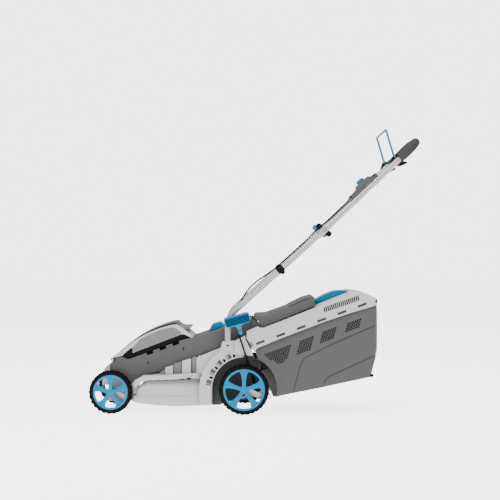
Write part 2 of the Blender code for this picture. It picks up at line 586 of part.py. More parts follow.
for name, sign in SIDES:
    handle_bolt = across(f"handle_bolt_{name}", FOLD, *span(sign, 0.2106, 0.2142), 0.0085, STEEL, 16)
    join(handle_bolt, across(f"bolt_stem_cutter_{name}", FOLD, *span(sign, 0.1450, 0.2120), 0.0039, sides=12))
    across(f"foot_screw_{name}", FOOT_SCREW, *span(sign, 0.1800, 0.1920), 0.0026, STEEL, 12)
for name, sign in SIDES:
    knob = across(f"wing_knob_{name}", FOLD, *span(sign, 0.1470, 0.1630), 0.0105, BLUE, 16)
    low_y, high_y = span(sign, 0.1500, 0.1580)
    wings = [
        (FOLD[0] - 0.024, FOLD[1] + 0.010), (FOLD[0] - 0.014, FOLD[1] + 0.020),
        (FOLD[0] + 0.024, FOLD[1] - 0.010), (FOLD[0] + 0.014, FOLD[1] - 0.020),
    ]
    join(knob, side(f"wing_cutter_{name}", wings, low_y, high_y))
    cut(knob, across(f"knob_bore_cutter_{name}", FOLD, *span(sign, 0.13, 0.18), 0.0043, sides=16))

# ---- switch box, start button, bail and its clevises ----
BOX_OUTLINE = [
    (0.1320, 0.0116), (0.2680, 0.0116), (0.2680, 0.0230), (0.2400, 0.0260),
    (0.2360, 0.0330), (0.1850, 0.0340), (0.1780, 0.0270), (0.1380, 0.0250),
]
switch = side("switch_box", [on_tube(a, b) for a, b in BOX_OUTLINE], -0.2120, -0.1560, MID_GREY)
WELL = [(0.1940, 0.0260), (0.2240, 0.0260), (0.2240, 0.0400), (0.1940, 0.0400)]
cut(switch, side("button_well_cutter", [on_tube(a, b) for a, b in WELL], -0.2000, -0.1680))
BUTTON = [
    (0.1945, 0.0305), (0.2235, 0.0305), (0.2235, 0.0370),
    (0.2190, 0.0405), (0.1990, 0.0405), (0.1945, 0.0370),
]
side("start_button", [on_tube(a, b) for a, b in BUTTON], -0.1995, -0.1685, BLUE)
BAIL_PIVOT = on_tube(0.3560, 0.0190)
CLEVIS = [(0.3490, 0.0116), (0.3630, 0.0116), (0.3630, 0.0240), (0.3490, 0.0240)]
for name, sign in SIDES:
    cheek = [on_tube(a, b) for a, b in CLEVIS]
    clevis = side(f"bail_clevis_{name}", cheek, *span(sign, 0.1900, 0.2060), MID_GREY)
    cut(clevis, across(f"clevis_bore_cutter_{name}", BAIL_PIVOT, *span(sign, 0.18, 0.22), 0.0030, sides=12))
BAIL_TOP = (BAIL_PIVOT[0] - 0.0280, BAIL_PIVOT[1] + 0.0960)
bail_half = rounded([
    (BAIL_PIVOT[0], 0.2050, BAIL_PIVOT[1]), (BAIL_PIVOT[0], 0.1840, BAIL_PIVOT[1]),
    (BAIL_TOP[0], 0.1840, BAIL_TOP[1]), (BAIL_TOP[0], 0.0, BAIL_TOP[1]),
], 0.008, 3)[:-1]
bail_line = [tuple(p) for p in bail_half]
tube("bail", bail_line + [(x, -y, z) for x, y, z in reversed(bail_line)], 0.0025, BLUE)

# ---- control cable and its clip ----
def beside_low(along, above):
    """A side-view point measured down the lower tube from the fold, and above the tube's axis."""
    over = Vector((-low_slope.y, low_slope.x))
    point = Vector(FOLD) - low_slope * along + over * above
    return (point.x, point.y)


cable_high = [on_tube(0.1310, 0.0150), on_tube(0.0800, 0.0147), on_tube(0.0280, 0.0147)]
tube("control_cable_upper", [(x, -UPPER_Y, z) for x, z in cable_high], 0.0028, BLACK)
BESIDE_TUBE = ((0.0060, 0.0180), (0.1000, 0.0150), (0.2200, 0.0150), (0.2900, 0.0200), (0.3500, 0.0210))
INTO_COVER = [(-0.0640, -0.1600, 0.3850), (-0.0830, -0.1300, 0.3600), (-0.0860, -0.1180, 0.3250)]
cable_low = [beside_low(along, off) for along, off in BESIDE_TUBE]
low_line = [(x, -0.1750, z) for x, z in cable_low] + INTO_COVER
tube("control_cable_lower", rounded(low_line, 0.020, 2), 0.0028, BLACK)
CLIP = [(0.1980, -0.0145), (0.2180, -0.0145), (0.2180, 0.0200), (0.1980, 0.0200)]
clip = side("cable_clip", [beside_low(a, b) for a, b in CLIP], -0.1895, -0.1605, BLACK)
clip_low, clip_high = beside_low(0.2400, 0), beside_low(0.1700, 0)
tube_low, tube_high = (clip_low[0], -LOWER_Y, clip_low[1]), (clip_high[0], -LOWER_Y, clip_high[1])
cut(clip, cylinder("clip_tube_cutter", tube_low, tube_high, TUBE_R + 0.0006))
cable_low_end, cable_high_end = beside_low(0.2400, 0.0150), beside_low(0.1700, 0.0150)
run_low = (cable_low_end[0], -LOWER_Y, cable_low_end[1])
run_high = (cable_high_end[0], -LOWER_Y, cable_high_end[1])
cut(clip, cylinder("clip_cable_cutter", run_low, run_high, 0.0033, sides=12))

# ---- rear flap ----
FLAP = [
    (-0.0070, 0.3380), (0.0020, 0.3460), (0.0370, 0.3490),
    (0.1440, 0.3880), (0.2030, 0.4140), (0.2100, 0.4100),
    (0.2100, 0.3800), (0.0860, 0.3300), (0.0300, 0.3070), (0.0240, 0.3030), (0.0080, 0.3290),
]
flap = side("rear_flap", FLAP, -0.1580, 0.1580, MID_GREY)
FLAP_HOLLOW = [
    (0.0300, 0.2900), (0.0200, 0.3350), (0.0370, 0.3450),
    (0.1440, 0.3840), (0.2060, 0.4080), (0.2060, 0.3600),
]
cut(flap, side("flap_hollow_cutter", FLAP_HOLLOW, -0.1550, 0.1550))
cut(flap, across("flap_bore_cutter", FLAP_AXIS, -0.2, 0.2, 0.0034, sides=12))
across("flap_hinge_pin", FLAP_AXIS, -0.1570, 0.1570, 0.0028, STEEL, 12)

# ---- collector ----
TUB_TOP = [(-0.0040, 0.2260), (0.0860, 0.2640), (0.2430, 0.3240), (0.3380, 0.3560), (0.4290, 0.3830)]
TUB = TUB_TOP + [
    (0.4300, 0.2300), (0.4350, 0.1910), (0.4070, 0.1360), (0.4140, 0.1330),
    (0.2440, 0.0960), (0.0860, 0.0640), (0.0620, 0.0570), (0.0260, 0.1530),
]
TUB_HOLLOW = [
    (-0.0500, 0.2100), (-0.0500, 0.2600), (0.0860, 0.3000),
    (0.4260, 0.4100), (0.4260, 0.2300), (0.4310, 0.1910),
    (0.4080, 0.1380), (0.2440, 0.1000), (0.0860, 0.0680), (0.0300, 0.0560), (-0.0200, 0.1500),
]
tub = side("collector_tub", TUB, -COLLECTOR_Y, COLLECTOR_Y, MID_GREY)
hollow = side("tub_hollow_cutter", TUB_HOLLOW, -COLLECTOR_Y + 0.003, COLLECTOR_Y - 0.003)
for name, sign in SIDES:
    room_span = span(sign, 0.1450, 0.20)
    cut(hollow, across(f"wheel_room_inner_cutter_{name}", REAR_C, *room_span, 0.1200, sides=48))
cut(tub, hollow)
for name, sign in SIDES:
    cut(tub, across(f"wheel_room_cutter_{name}", REAR_C, *span(sign, 0.1480, 0.20), 0.1160, sides=48))
COLLECTOR_LID = [
    (-0.0050, 0.2270), (-0.0320, 0.2660), (-0.0320, 0.2790), (0.0100, 0.2950), (0.0250, 0.3020),
    (0.0860, 0.3260), (0.2120, 0.3760), (0.2240, 0.3850), (0.3290, 0.4260), (0.3400, 0.4340),
    (0.3900, 0.4260), (0.4270, 0.4100), (0.4320, 0.3920), (0.4290, 0.3840),
    (0.3380, 0.3570), (0.2430, 0.3250), (0.0860, 0.2650),
]
LID_BASE_RISE = 0.0006      # the lid's drawn outline sits this far too low on the tub's rim
lid_outline = [(x, z + LID_BASE_RISE) for x, z in COLLECTOR_LID]
collector_lid = side("collector_lid", lid_outline, -COLLECTOR_LID_Y, COLLECTOR_LID_Y, LIGHT_GREY)
cut(collector_lid, side("lid_room_cutter", [
    (-0.0100, 0.1800), (-0.0290, 0.2600), (-0.0290, 0.2765), (0.0860, 0.3225),
    (0.2120, 0.3730), (0.3290, 0.4225), (0.3400, 0.4305), (0.3890, 0.4225),
    (0.4250, 0.4070), (0.4290, 0.3920), (0.4250, 0.2800),
], -COLLECTOR_LID_Y + 0.003, COLLECTOR_LID_Y - 0.003))
cut(collector_lid, box("lid_front_cutter", (-0.06, -0.1600, 0.15), (0.0120, 0.1600, 0.35)))
COLLECTOR_GRIP = [(0.2230, 0.3870), (0.2250, 0.4010), (0.2820, 0.4300), (0.3280, 0.4325), (0.3280, 0.4280)]
grip = side("collector_handle", COLLECTOR_GRIP, -0.0600, 0.0600, BLUE)
FINGER_GAP = [(0.2430, 0.3700), (0.2430, 0.4050), (0.3180, 0.4225), (0.3180, 0.3700)]
cut(grip, side("finger_gap_cutter", FINGER_GAP, -0.0700, 0.0700))
cut(collector_lid, box("finger_room_cutter", (0.2450, -0.0450, 0.3600), (0.3150, 0.0450, 0.4400)))
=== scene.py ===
# %% [markdown]
# # Cordless lawn mower
# This script dresses the mower's solid model. The solids already have their places and joints, so each step
# below makes the finished look of one piece in the same metres and hangs it on the body that it moves with.
# +X points to the rear, -Y is the operator's left and the ground is z = 0.

# %% Load the frame
from math import cos, pi, radians, sin

import bmesh
import bpy
from mathutils import Matrix, Vector


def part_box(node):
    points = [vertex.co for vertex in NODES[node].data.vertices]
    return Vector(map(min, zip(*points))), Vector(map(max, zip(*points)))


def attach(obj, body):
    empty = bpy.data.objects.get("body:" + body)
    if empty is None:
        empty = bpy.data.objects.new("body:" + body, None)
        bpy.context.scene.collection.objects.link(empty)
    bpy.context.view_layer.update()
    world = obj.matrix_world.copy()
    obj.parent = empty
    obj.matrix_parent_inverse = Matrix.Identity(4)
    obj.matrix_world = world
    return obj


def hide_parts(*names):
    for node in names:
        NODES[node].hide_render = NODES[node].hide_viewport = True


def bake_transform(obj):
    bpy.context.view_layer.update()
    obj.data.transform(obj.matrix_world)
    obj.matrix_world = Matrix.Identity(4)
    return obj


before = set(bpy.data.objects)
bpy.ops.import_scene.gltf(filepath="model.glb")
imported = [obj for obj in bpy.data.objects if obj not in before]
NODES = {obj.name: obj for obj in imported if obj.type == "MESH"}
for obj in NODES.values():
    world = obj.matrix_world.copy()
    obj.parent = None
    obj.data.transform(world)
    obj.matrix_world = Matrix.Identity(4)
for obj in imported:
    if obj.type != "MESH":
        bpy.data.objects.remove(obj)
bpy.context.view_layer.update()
SIDES = (("left", -1), ("right", 1))
print("solids loaded:", len(NODES))

# %% [markdown]
# ## Surface effects
# Moulded plastic is never perfectly even. The tool leaves a fine grain, the colour drifts a little over a
# large panel, and dust gathers low down near the grass. Each of these effects is a node group, so every
# finish can reuse it with its own strength. The shader itself stays in each material, where its plain
# numbers belong.

# %% Grain
def start_group(name, inputs, outputs):
    group = bpy.data.node_groups.new(name, "ShaderNodeTree")
    for label, kind, value in inputs:
        socket = group.interface.new_socket(name=label, in_out="INPUT", socket_type=kind)
        socket.default_value = value
    for label, kind in outputs:
        group.interface.new_socket(name=label, in_out="OUTPUT", socket_type=kind)
    return group, group.nodes.new("NodeGroupInput"), group.nodes.new("NodeGroupOutput")


def grain_group():
    """Fine pits and bumps, as a normal."""
    group, given, made = start_group(
        "moulding_grain",
        [("Scale", "NodeSocketFloat", 900.0), ("Strength", "NodeSocketFloat", 0.2),
         ("Depth", "NodeSocketFloat", 0.0004)],
        [("Normal", "NodeSocketVector"), ("Height", "NodeSocketFloat")],
    )
    where = group.nodes.new("ShaderNodeTexCoord")
    pits = group.nodes.new("ShaderNodeTexNoise")
    pits.inputs["Detail"].default_value = 3.0
    bump = group.nodes.new("ShaderNodeBump")
    link = group.links.new
    link(where.outputs["Object"], pits.inputs["Vector"])
    link(given.outputs["Scale"], pits.inputs["Scale"])
    link(pits.outputs["Fac"], bump.inputs["Height"])
    link(given.outputs["Strength"], bump.inputs["Strength"])
    link(given.outputs["Depth"], bump.inputs["Distance"])
    link(bump.outputs["Normal"], made.inputs["Normal"])
    link(pits.outputs["Fac"], made.inputs["Height"])
    return group


GRAIN = grain_group()
print("effect group:", GRAIN.name)


# %% Colour drift
def drift_group():
    """Two close colours, mixed in broad soft patches and fine specks."""
    group, given, made = start_group(
        "colour_drift",
        [("First", "NodeSocketColor", (0.5, 0.5, 0.5, 1)), ("Second", "NodeSocketColor", (0.6, 0.6, 0.6, 1)),
         ("Scale", "NodeSocketFloat", 9.0), ("Speck", "NodeSocketFloat", 0.25)],
        [("Color", "NodeSocketColor"), ("Fac", "NodeSocketFloat")],
    )
    where = group.nodes.new("ShaderNodeTexCoord")
    broad, fine = group.nodes.new("ShaderNodeTexNoise"), group.nodes.new("ShaderNodeTexNoise")
    fine.inputs["Scale"].default_value = 420.0
    both = group.nodes.new("ShaderNodeMix")
    mix = group.nodes.new("ShaderNodeMix")
    mix.data_type = "RGBA"
    link = group.links.new
    link(where.outputs["Object"], broad.inputs["Vector"])
    link(where.outputs["Object"], fine.inputs["Vector"])
    link(given.outputs["Scale"], broad.inputs["Scale"])
    link(given.outputs["Speck"], both.inputs["Factor"])
    link(broad.outputs["Fac"], both.inputs["A"])
    link(fine.outputs["Fac"], both.inputs["B"])
    link(both.outputs["Result"], mix.inputs["Factor"])
    link(given.outputs["First"], mix.inputs[6])
    link(given.outputs["Second"], mix.inputs[7])
    link(mix.outputs[2], made.inputs["Color"])
    link(both.outputs["Result"], made.inputs["Fac"])
    return group


DRIFT = drift_group()
print("effect group:", DRIFT.name)


# %% Dust
def dust_group():
    """A mask that is strongest near the ground and broken up by noise."""
    group, given, made = start_group(
        "low_dust",
        [("Height", "NodeSocketFloat", 0.16), ("Amount", "NodeSocketFloat", 0.2)],
        [("Mask", "NodeSocketFloat")],
    )
    where = group.nodes.new("ShaderNodeTexCoord")
    split = group.nodes.new("ShaderNodeSeparateXYZ")
    fade = group.nodes.new("ShaderNodeMapRange")
    fade.inputs["From Min"].default_value = 0.0
    fade.inputs["To Min"].default_value = 1.0
    fade.inputs["To Max"].default_value = 0.0
    patches = group.nodes.new("ShaderNodeTexNoise")
    patches.inputs["Scale"].default_value = 35.0
    patches.inputs["Detail"].default_value = 5.0
    spread, weaken = group.nodes.new("ShaderNodeMath"), group.nodes.new("ShaderNodeMath")
    spread.operation = weaken.operation = "MULTIPLY"
    link = group.links.new
    link(where.outputs["Object"], split.inputs["Vector"])
    link(where.outputs["Object"], patches.inputs["Vector"])
    link(split.outputs["Z"], fade.inputs["Value"])
    link(given.outputs["Height"], fade.inputs["From Max"])
    link(fade.outputs["Result"], spread.inputs[0])
    link(patches.outputs["Fac"], spread.inputs[1])
    link(spread.outputs["Value"], weaken.inputs[0])
    link(given.outputs["Amount"], weaken.inputs[1])
    link(weaken.outputs["Value"], made.inputs["Mask"])
    return group


DUST = dust_group()
print("effect group:", DUST.name)

# %% [markdown]
# ## Finishes
# A finish joins the effects to one Principled shader. The base colour drifts between two close tones and
# takes dust low down, the roughness follows the same patches, and the grain sets the normal. A thin clear
# coat lies on the blue parts, the smoked window and the lacquered tube. Gloss sets how strongly the plastic
# itself mirrors, and it's low for the dark finishes, which would turn grey under the soft light otherwise.

# %% Build the finishes
DUST_COLOUR = (0.30, 0.27, 0.20, 1.0)


def finish(name, first, second, rough, grain=(900.0, 0.2, 0.0004), metal=0.0, coat=0.0, dust=0.12,
           patch=9.0, speck=0.25, gloss=0.3):
    """A procedural finish: two close colours, a roughness range, and (scale, strength, depth) of its grain.

    Dust is its amount near the ground, patch and speck the drift's scale and its share of fine specks.
    """
    made = bpy.data.materials.new(name)
    made.use_nodes = True
    nodes, link = made.node_tree.nodes, made.node_tree.links.new
    shader = nodes["Principled BSDF"]
    shader.inputs["Metallic"].default_value = metal
    shader.inputs["Specular IOR Level"].default_value = gloss
    shader.inputs["Coat Weight"].default_value = coat
    shader.inputs["Coat Roughness"].default_value = 0.08
    drift, pits, low = (nodes.new("ShaderNodeGroup") for _ in range(3))
    drift.node_tree, pits.node_tree, low.node_tree = DRIFT, GRAIN, DUST
    drift.inputs["First"].default_value, drift.inputs["Second"].default_value = (*first, 1), (*second, 1)
    drift.inputs["Scale"].default_value, drift.inputs["Speck"].default_value = patch, speck
    for label, value in zip(("Scale", "Strength", "Depth"), grain):
        pits.inputs[label].default_value = value
    low.inputs["Amount"].default_value = dust
    settle = nodes.new("ShaderNodeMix")
    settle.data_type = "RGBA"
    settle.inputs[7].default_value = DUST_COLOUR
    sheen = nodes.new("ShaderNodeMapRange")
    sheen.inputs["To Min"].default_value, sheen.inputs["To Max"].default_value = rough
    link(drift.outputs["Color"], settle.inputs[6])
    link(low.outputs["Mask"], settle.inputs["Factor"])
    link(settle.outputs[2], shader.inputs["Base Color"])
    link(drift.outputs["Fac"], sheen.inputs["Value"])
    link(sheen.outputs["Result"], shader.inputs["Roughness"])
    link(pits.outputs["Normal"], shader.inputs["Normal"])
    return made


print("dust colour:", DUST_COLOUR[:3])

# %% The mower's finishes
LIGHT = finish("light_grey_moulding", (0.50, 0.50, 0.505), (0.56, 0.56, 0.56), (0.40, 0.52), dust=0.05)
PANEL = finish("lid_panel_moulding", (0.165, 0.165, 0.165), (0.190, 0.190, 0.190), (0.38, 0.50), dust=0.05)
MID = finish("mid_grey_moulding", (0.076, 0.076, 0.076), (0.092, 0.092, 0.092), (0.44, 0.56), dust=0.04,
             gloss=0.2)
# This dark grey is painted shade. It colours only the slot floors, the crease shadow strips and the
# wheel-well plates.
SHADE_GREY = finish("painted_shade_grey", (0.042, 0.044, 0.044), (0.052, 0.054, 0.054), (0.48, 0.62), dust=0.05,
              gloss=0.12)
BLUE = finish("blue_gloss_moulding", (0.0, 0.185, 0.37), (0.0, 0.210, 0.41), (0.28, 0.38),
              (700.0, 0.08, 0.0003), coat=0.08, dust=0.0, gloss=0.12)
# Dark blue painted shade for the gaps between the lever grip's lattice ridges.
BLUE_GAP_SHADE = finish("lattice_shade", (0.0, 0.020, 0.050), (0.0, 0.028, 0.066), (0.45, 0.55), dust=0.0,
                   gloss=0.1)
BLACK = finish("black_moulding", (0.0030, 0.0030, 0.0034), (0.0055, 0.0055, 0.006), (0.44, 0.58), dust=0.01,
               gloss=0.1)
SMOKED = finish("smoked_window", (0.003, 0.003, 0.004), (0.005, 0.005, 0.006), (0.16, 0.24),
                (60.0, 0.04, 0.0003), coat=0.1, dust=0.0, gloss=0.15)
RUBBER = finish("tyre_rubber", (0.0030, 0.0030, 0.0030), (0.0055, 0.0055, 0.0055), (0.70, 0.84),
                (500.0, 0.35, 0.0006), dust=0.015, patch=22.0, gloss=0.08)
FOAM = finish("grip_foam", (0.042, 0.042, 0.042), (0.066, 0.066, 0.066), (0.88, 0.96), (650.0, 0.9, 0.0012),
              dust=0.0, patch=60.0, speck=0.6, gloss=0.1)
TUBE = finish("lacquered_tube", (0.40, 0.40, 0.41), (0.46, 0.46, 0.47), (0.26, 0.36), (260.0, 0.10, 0.0003),
              metal=0.45, coat=0.25, dust=0.0)
STEEL = finish("zinc_steel", (0.40, 0.40, 0.40), (0.50, 0.50, 0.49), (0.26, 0.42), (340.0, 0.18, 0.0003),
               metal=1.0, dust=0.04, patch=40.0)
CAST = finish("cast_alloy", (0.36, 0.36, 0.37), (0.46, 0.46, 0.47), (0.42, 0.58), (520.0, 0.5, 0.0006),
              metal=1.0, dust=0.04, patch=50.0)
CABLE = finish("cable_jacket", (0.004, 0.004, 0.0045), (0.007, 0.007, 0.0075), (0.40, 0.52),
               (800.0, 0.15, 0.0003), dust=0.0, gloss=0.15)
print("finishes made: 14")

# %% [markdown]
# ## Shaping tools
# Nearly every panel of the mower is a side-view outline with some width, so the first tool makes a slab
# from an outline whose corners are rounded, and rolls its rim over with a bevel. Others sweep a round bar
# along a smooth line, turn a profile about an axle, and cut or join two shapes. Each tool ends with a plain
# mesh.

# %% Outlines and meshes
def arc(centre, radius, start, end, count):
    """Points on an arc, from start to end degrees."""
    turns = [radians(start + (end - start) * i / (count - 1)) for i in range(count)]
    return [(centre[0] + radius * cos(a), centre[1] + radius * sin(a)) for a in turns]


def placed(spot, points):
    """The points of a small outline, each set in place by spot."""
    return [spot(a, b) for a, b in points]


def soften(points, radius, steps=4):
    """Round the corners of a closed outline, or less where its edges are short."""
    out = []
    total = len(points)
    for i, corner in enumerate(points):
        corner = Vector(corner)
        before, after = Vector(points[i - 1]), Vector(points[(i + 1) % total])
        turn = (corner - before).angle(after - corner, 0.0)
        if turn < radians(12):
            out.append(tuple(corner))
            continue
        reach = min(radius, 0.45 * (before - corner).length, 0.45 * (after - corner).length)
        first = corner + (before - corner).normalized() * reach
        last = corner + (after - corner).normalized() * reach
        for k in range(steps + 1):
            s = k / steps
            out.append(tuple(first.lerp(corner, s).lerp(corner.lerp(last, s), s)))
    return out


SQUARE = [(0.0, 0.0), (1.0, 0.0), (1.0, 1.0), (0.0, 1.0)]
print("points of a softened square:", len(soften(SQUARE, 0.1)))


# %% Flat shapes
def new_piece(name, shape, material):
    """Turn a bmesh into an object with its faces outwards."""
    bmesh.ops.remove_doubles(shape, verts=shape.verts, dist=0.00001)
    bmesh.ops.recalc_face_normals(shape, faces=shape.faces)
    mesh = bpy.data.meshes.new(name)
    shape.to_mesh(mesh)
    shape.free()
    mesh.materials.append(material)
    made = bpy.data.objects.new(name, mesh)
    bpy.context.scene.collection.objects.link(made)
    return made


def bake(piece):
    """Replace the piece's modifiers by the plain mesh that they make."""
    bpy.context.view_layer.update()
    mesh = bpy.data.meshes.new_from_object(piece.evaluated_get(bpy.context.evaluated_depsgraph_get()))
    piece.modifiers.clear()
    piece.data = mesh
    return piece


def roll_edges(piece, width, segments=3, angle=40):
    edge = piece.modifiers.new("rolled_edges", "BEVEL")
    edge.width, edge.segments = width, segments
    edge.limit_method, edge.angle_limit = "ANGLE", radians(angle)
    return bake(piece)


def prism(name, outline, low, high, material, lift):
    """Extrude a flat outline between two levels; lift places an outline point and a level in space."""
    shape = bmesh.new()
    bottom = [shape.verts.new(lift(p, low)) for p in outline]
    top = [shape.verts.new(lift(p, high)) for p in outline]
    shape.faces.new(bottom)
    shape.faces.new(list(reversed(top)))
    for i in range(len(outline)):
        j = (i + 1) % len(outline)
        shape.faces.new((bottom[i], top[i], top[j], bottom[j]))
    return new_piece(name, shape, material)


def slab(name, outline, y_low, y_high, material, corner=0.003, edge=0.0012, segments=3):
    """A side-view outline of (x, z) points between two y values, with rounded corners and rolled rims."""
    points = soften(outline, corner) if corner else outline
    made = prism(name, points, min(y_low, y_high), max(y_low, y_high), material, lambda p, y: (p[0], y, p[1]))
    return roll_edges(made, edge, segments, 60) if edge else made


def board(name, outline, z_low, z_high, material, corner=0.003, edge=0.0012, segments=3):
    """A plan-view outline of (x, y) points between two heights."""
    points = soften(outline, corner) if corner else outline
    made = prism(name, points, z_low, z_high, material, lambda p, z: (p[0], p[1], z))
    return roll_edges(made, edge, segments, 60) if edge else made


def block(name, low, high, material, edge=0.001):
    outline = [(low[0], low[2]), (high[0], low[2]), (high[0], high[2]), (low[0], high[2])]
    made = slab(name, outline, low[1], high[1], material, corner=0, edge=0)
    return roll_edges(made, edge, 2) if edge else made


print("flat shapes: prism, slab, board and block")


# %% Skinned, turned and swept shapes
def loft(name, rings, material, closed_ends=True):
    """Skin a list of equal rings of points."""
    shape = bmesh.new()
    rows = [[shape.verts.new(p) for p in ring] for ring in rings]
    for a, b in zip(rows, rows[1:]):
        for i in range(len(a)):
            j = (i + 1) % len(a)
            shape.faces.new((a[i], b[i], b[j], a[j]))
    if closed_ends:
        shape.faces.new(rows[0])
        shape.faces.new(list(reversed(rows[-1])))
    return new_piece(name, shape, material)


def turned(name, profile, at, y_from, direction, material, sides=64):
    """Turn a closed profile of (radius, distance) points about a line along Y.

    The line passes through the side-view point at, and the distances run from y_from in the direction given.
    """
    shape = bmesh.new()
    rows = []
    for i in range(sides):
        a = 2 * pi * (i + 0.5) / sides
        rows.append([shape.verts.new((at[0] + r * cos(a), y_from + direction * d, at[1] + r * sin(a)))
                     for r, d in profile])
    for i in range(sides):
        a, b = rows[i], rows[(i + 1) % sides]
        for k in range(len(profile)):
            m = (k + 1) % len(profile)
            shape.faces.new((a[k], b[k], b[m], a[m]))
    return new_piece(name, shape, material)


def rod(name, points, radius, material, sides=20, radii=None):
    """Sweep a round bar along points in space, with domed ends."""
    points = [Vector(p) for p in points]
    rings, upright = [], None
    for i, p in enumerate(points):
        ahead = (points[min(i + 1, len(points) - 1)] - points[max(i - 1, 0)]).normalized()
        if upright is None:
            upright = ahead.orthogonal().normalized()
        upright = (upright - ahead * upright.dot(ahead)).normalized()
        over = ahead.cross(upright)
        size = radii[i] if radii else radius
        rings.append((p, ahead, [(upright * cos(2 * pi * k / sides) + over * sin(2 * pi * k / sides), size)
                                 for k in range(sides)]))
    solid = [[p + d * s for d, s in ring] for p, _, ring in rings]
    for end, sign in ((0, -1), (-1, 1)):
        p, ahead, ring = rings[end]
        dome = [[p + ahead * sign * ring[0][1] * 0.35 * sin(t) + d * s * cos(t) for d, s in ring]
                for t in (0.6, 1.1)]
        solid = list(reversed(dome)) + solid if end == 0 else solid + dome
    return loft(name, solid, material)


def bend(points, radius, steps=6):
    """Round the corners of an open line in space."""
    out = [Vector(points[0])]
    for before, corner, after in zip(points, points[1:], points[2:]):
        before, corner, after = Vector(before), Vector(corner), Vector(after)
        first = corner + (before - corner).normalized() * min(radius, 0.49 * (before - corner).length)
        last = corner + (after - corner).normalized() * min(radius, 0.49 * (after - corner).length)
        out += [first.lerp(corner, k / steps).lerp(corner.lerp(last, k / steps), k / steps)
                for k in range(steps + 1)]
    return out + [Vector(points[-1])]


def flowing(points, per_span=8):
    """A smooth line through every point given."""
    points = [Vector(p) for p in points]
    line = [points[0] * 2 - points[1]] + points + [points[-1] * 2 - points[-2]]
    out = []
    for a, b, c, d in zip(line, line[1:], line[2:], line[3:]):
        for k in range(per_span):
            t = k / per_span
            out.append(0.5 * (2 * b + (c - a) * t + (2 * a - 5 * b + 4 * c - d) * t ** 2
                              + (3 * b - a - 3 * c + d) * t ** 3))
    return out + [points[-1]]


print("points of a flowing line over two spans:", len(flowing([(0, 0, 0), (1, 0, 0), (2, 1, 0)])))


# %% Cutting, joining and mirroring
def combine(piece, others, operation):
    for other in others:
        step = piece.modifiers.new(operation.lower(), "BOOLEAN")
        step.operation, step.solver, step.object = operation, "EXACT", other
        bake(piece)
        bpy.data.objects.remove(other, do_unlink=True)
    return piece


def cut(piece, *others):
    return combine(piece, others, "DIFFERENCE")


def join(piece, *others):
    return combine(piece, others, "UNION")


def mirrored(piece, name):
    """The same piece on the other side of the mower."""
    made = piece.copy()
    made.data = piece.data.copy()
    made.name = name
    bpy.context.scene.collection.objects.link(made)
    made.data.transform(Matrix.Scale(-1, 4, (0, 1, 0)))
    made.data.flip_normals()
    return made


def hang(piece, body, slot, *nodes, angle=32):
    """Smooth a finished piece, hang it on its body, and let it stand for its solid nodes."""
    piece.data.shade_smooth()
    piece.data.set_sharp_from_angle(angle=radians(angle))
    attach(piece, body)
    if nodes:
        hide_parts(*nodes)
    return piece


def group_up(name, pieces):
    """Merge several meshes that move together into one piece, and keep their finishes."""
    shape, materials = bmesh.new(), []
    for piece in pieces:
        mesh = piece.data.copy()
        for material in mesh.materials:
            if material not in materials:
                materials.append(material)
        swap = [materials.index(m) for m in mesh.materials]
        for face in mesh.polygons:
            face.material_index = swap[min(face.material_index, len(swap) - 1)] if swap else 0
        shape.from_mesh(mesh)
        bpy.data.objects.remove(piece, do_unlink=True)
    mesh = bpy.data.meshes.new(name)
    shape.to_mesh(mesh)
    shape.free()
    for material in materials:
        mesh.materials.append(material)
    made = bpy.data.objects.new(name, mesh)
    bpy.context.scene.collection.objects.link(made)
    return made


print("shaping tools ready")

# %% [markdown]
# ## Rows and rings
# Slots, louvre bars, lattice ridges, castellations and fins all repeat at a fixed step, and tread lugs and
# detent pockets repeat around an axle. They could be copied in a loop, but a geometry node tree keeps the
# rule in one place with named sizes. A row steps along a line; a ring steps around the Y axis and can lean
# each block.

# %% Node trees that repeat a block
def block_tree(name, inputs, place):
    """A tree that sets one block on each point that place makes."""
    tree = bpy.data.node_groups.new(name, "GeometryNodeTree")
    tree.is_modifier = True
    tree.interface.new_socket(name="Geometry", in_out="OUTPUT", socket_type="NodeSocketGeometry")
    for label, kind in inputs + [("Size", "NodeSocketVector"), ("Material", "NodeSocketMaterial")]:
        tree.interface.new_socket(name=label, in_out="INPUT", socket_type=kind)
    given, made = tree.nodes.new("NodeGroupInput"), tree.nodes.new("NodeGroupOutput")
    cube = tree.nodes.new("GeometryNodeMeshCube")
    stand = tree.nodes.new("GeometryNodeInstanceOnPoints")
    real = tree.nodes.new("GeometryNodeRealizeInstances")
    dress = tree.nodes.new("GeometryNodeSetMaterial")
    link = tree.links.new
    link(given.outputs["Size"], cube.inputs["Size"])
    link(cube.outputs["Mesh"], stand.inputs["Instance"])
    points, turn = place(tree, given, link)
    link(points, stand.inputs["Points"])
    link(turn, stand.inputs["Rotation"])
    link(stand.outputs["Instances"], real.inputs["Geometry"])
    link(real.outputs["Geometry"], dress.inputs["Geometry"])
    link(given.outputs["Material"], dress.inputs["Material"])
    link(dress.outputs["Geometry"], made.inputs["Geometry"])
    return tree


def along_line(tree, given, link):
    line = tree.nodes.new("GeometryNodeMeshLine")
    line.mode = "OFFSET"
    link(given.outputs["Count"], line.inputs["Count"])
    link(given.outputs["First"], line.inputs["Start Location"])
    link(given.outputs["Step"], line.inputs["Offset"])
    return line.outputs["Mesh"], given.outputs["Turn"]


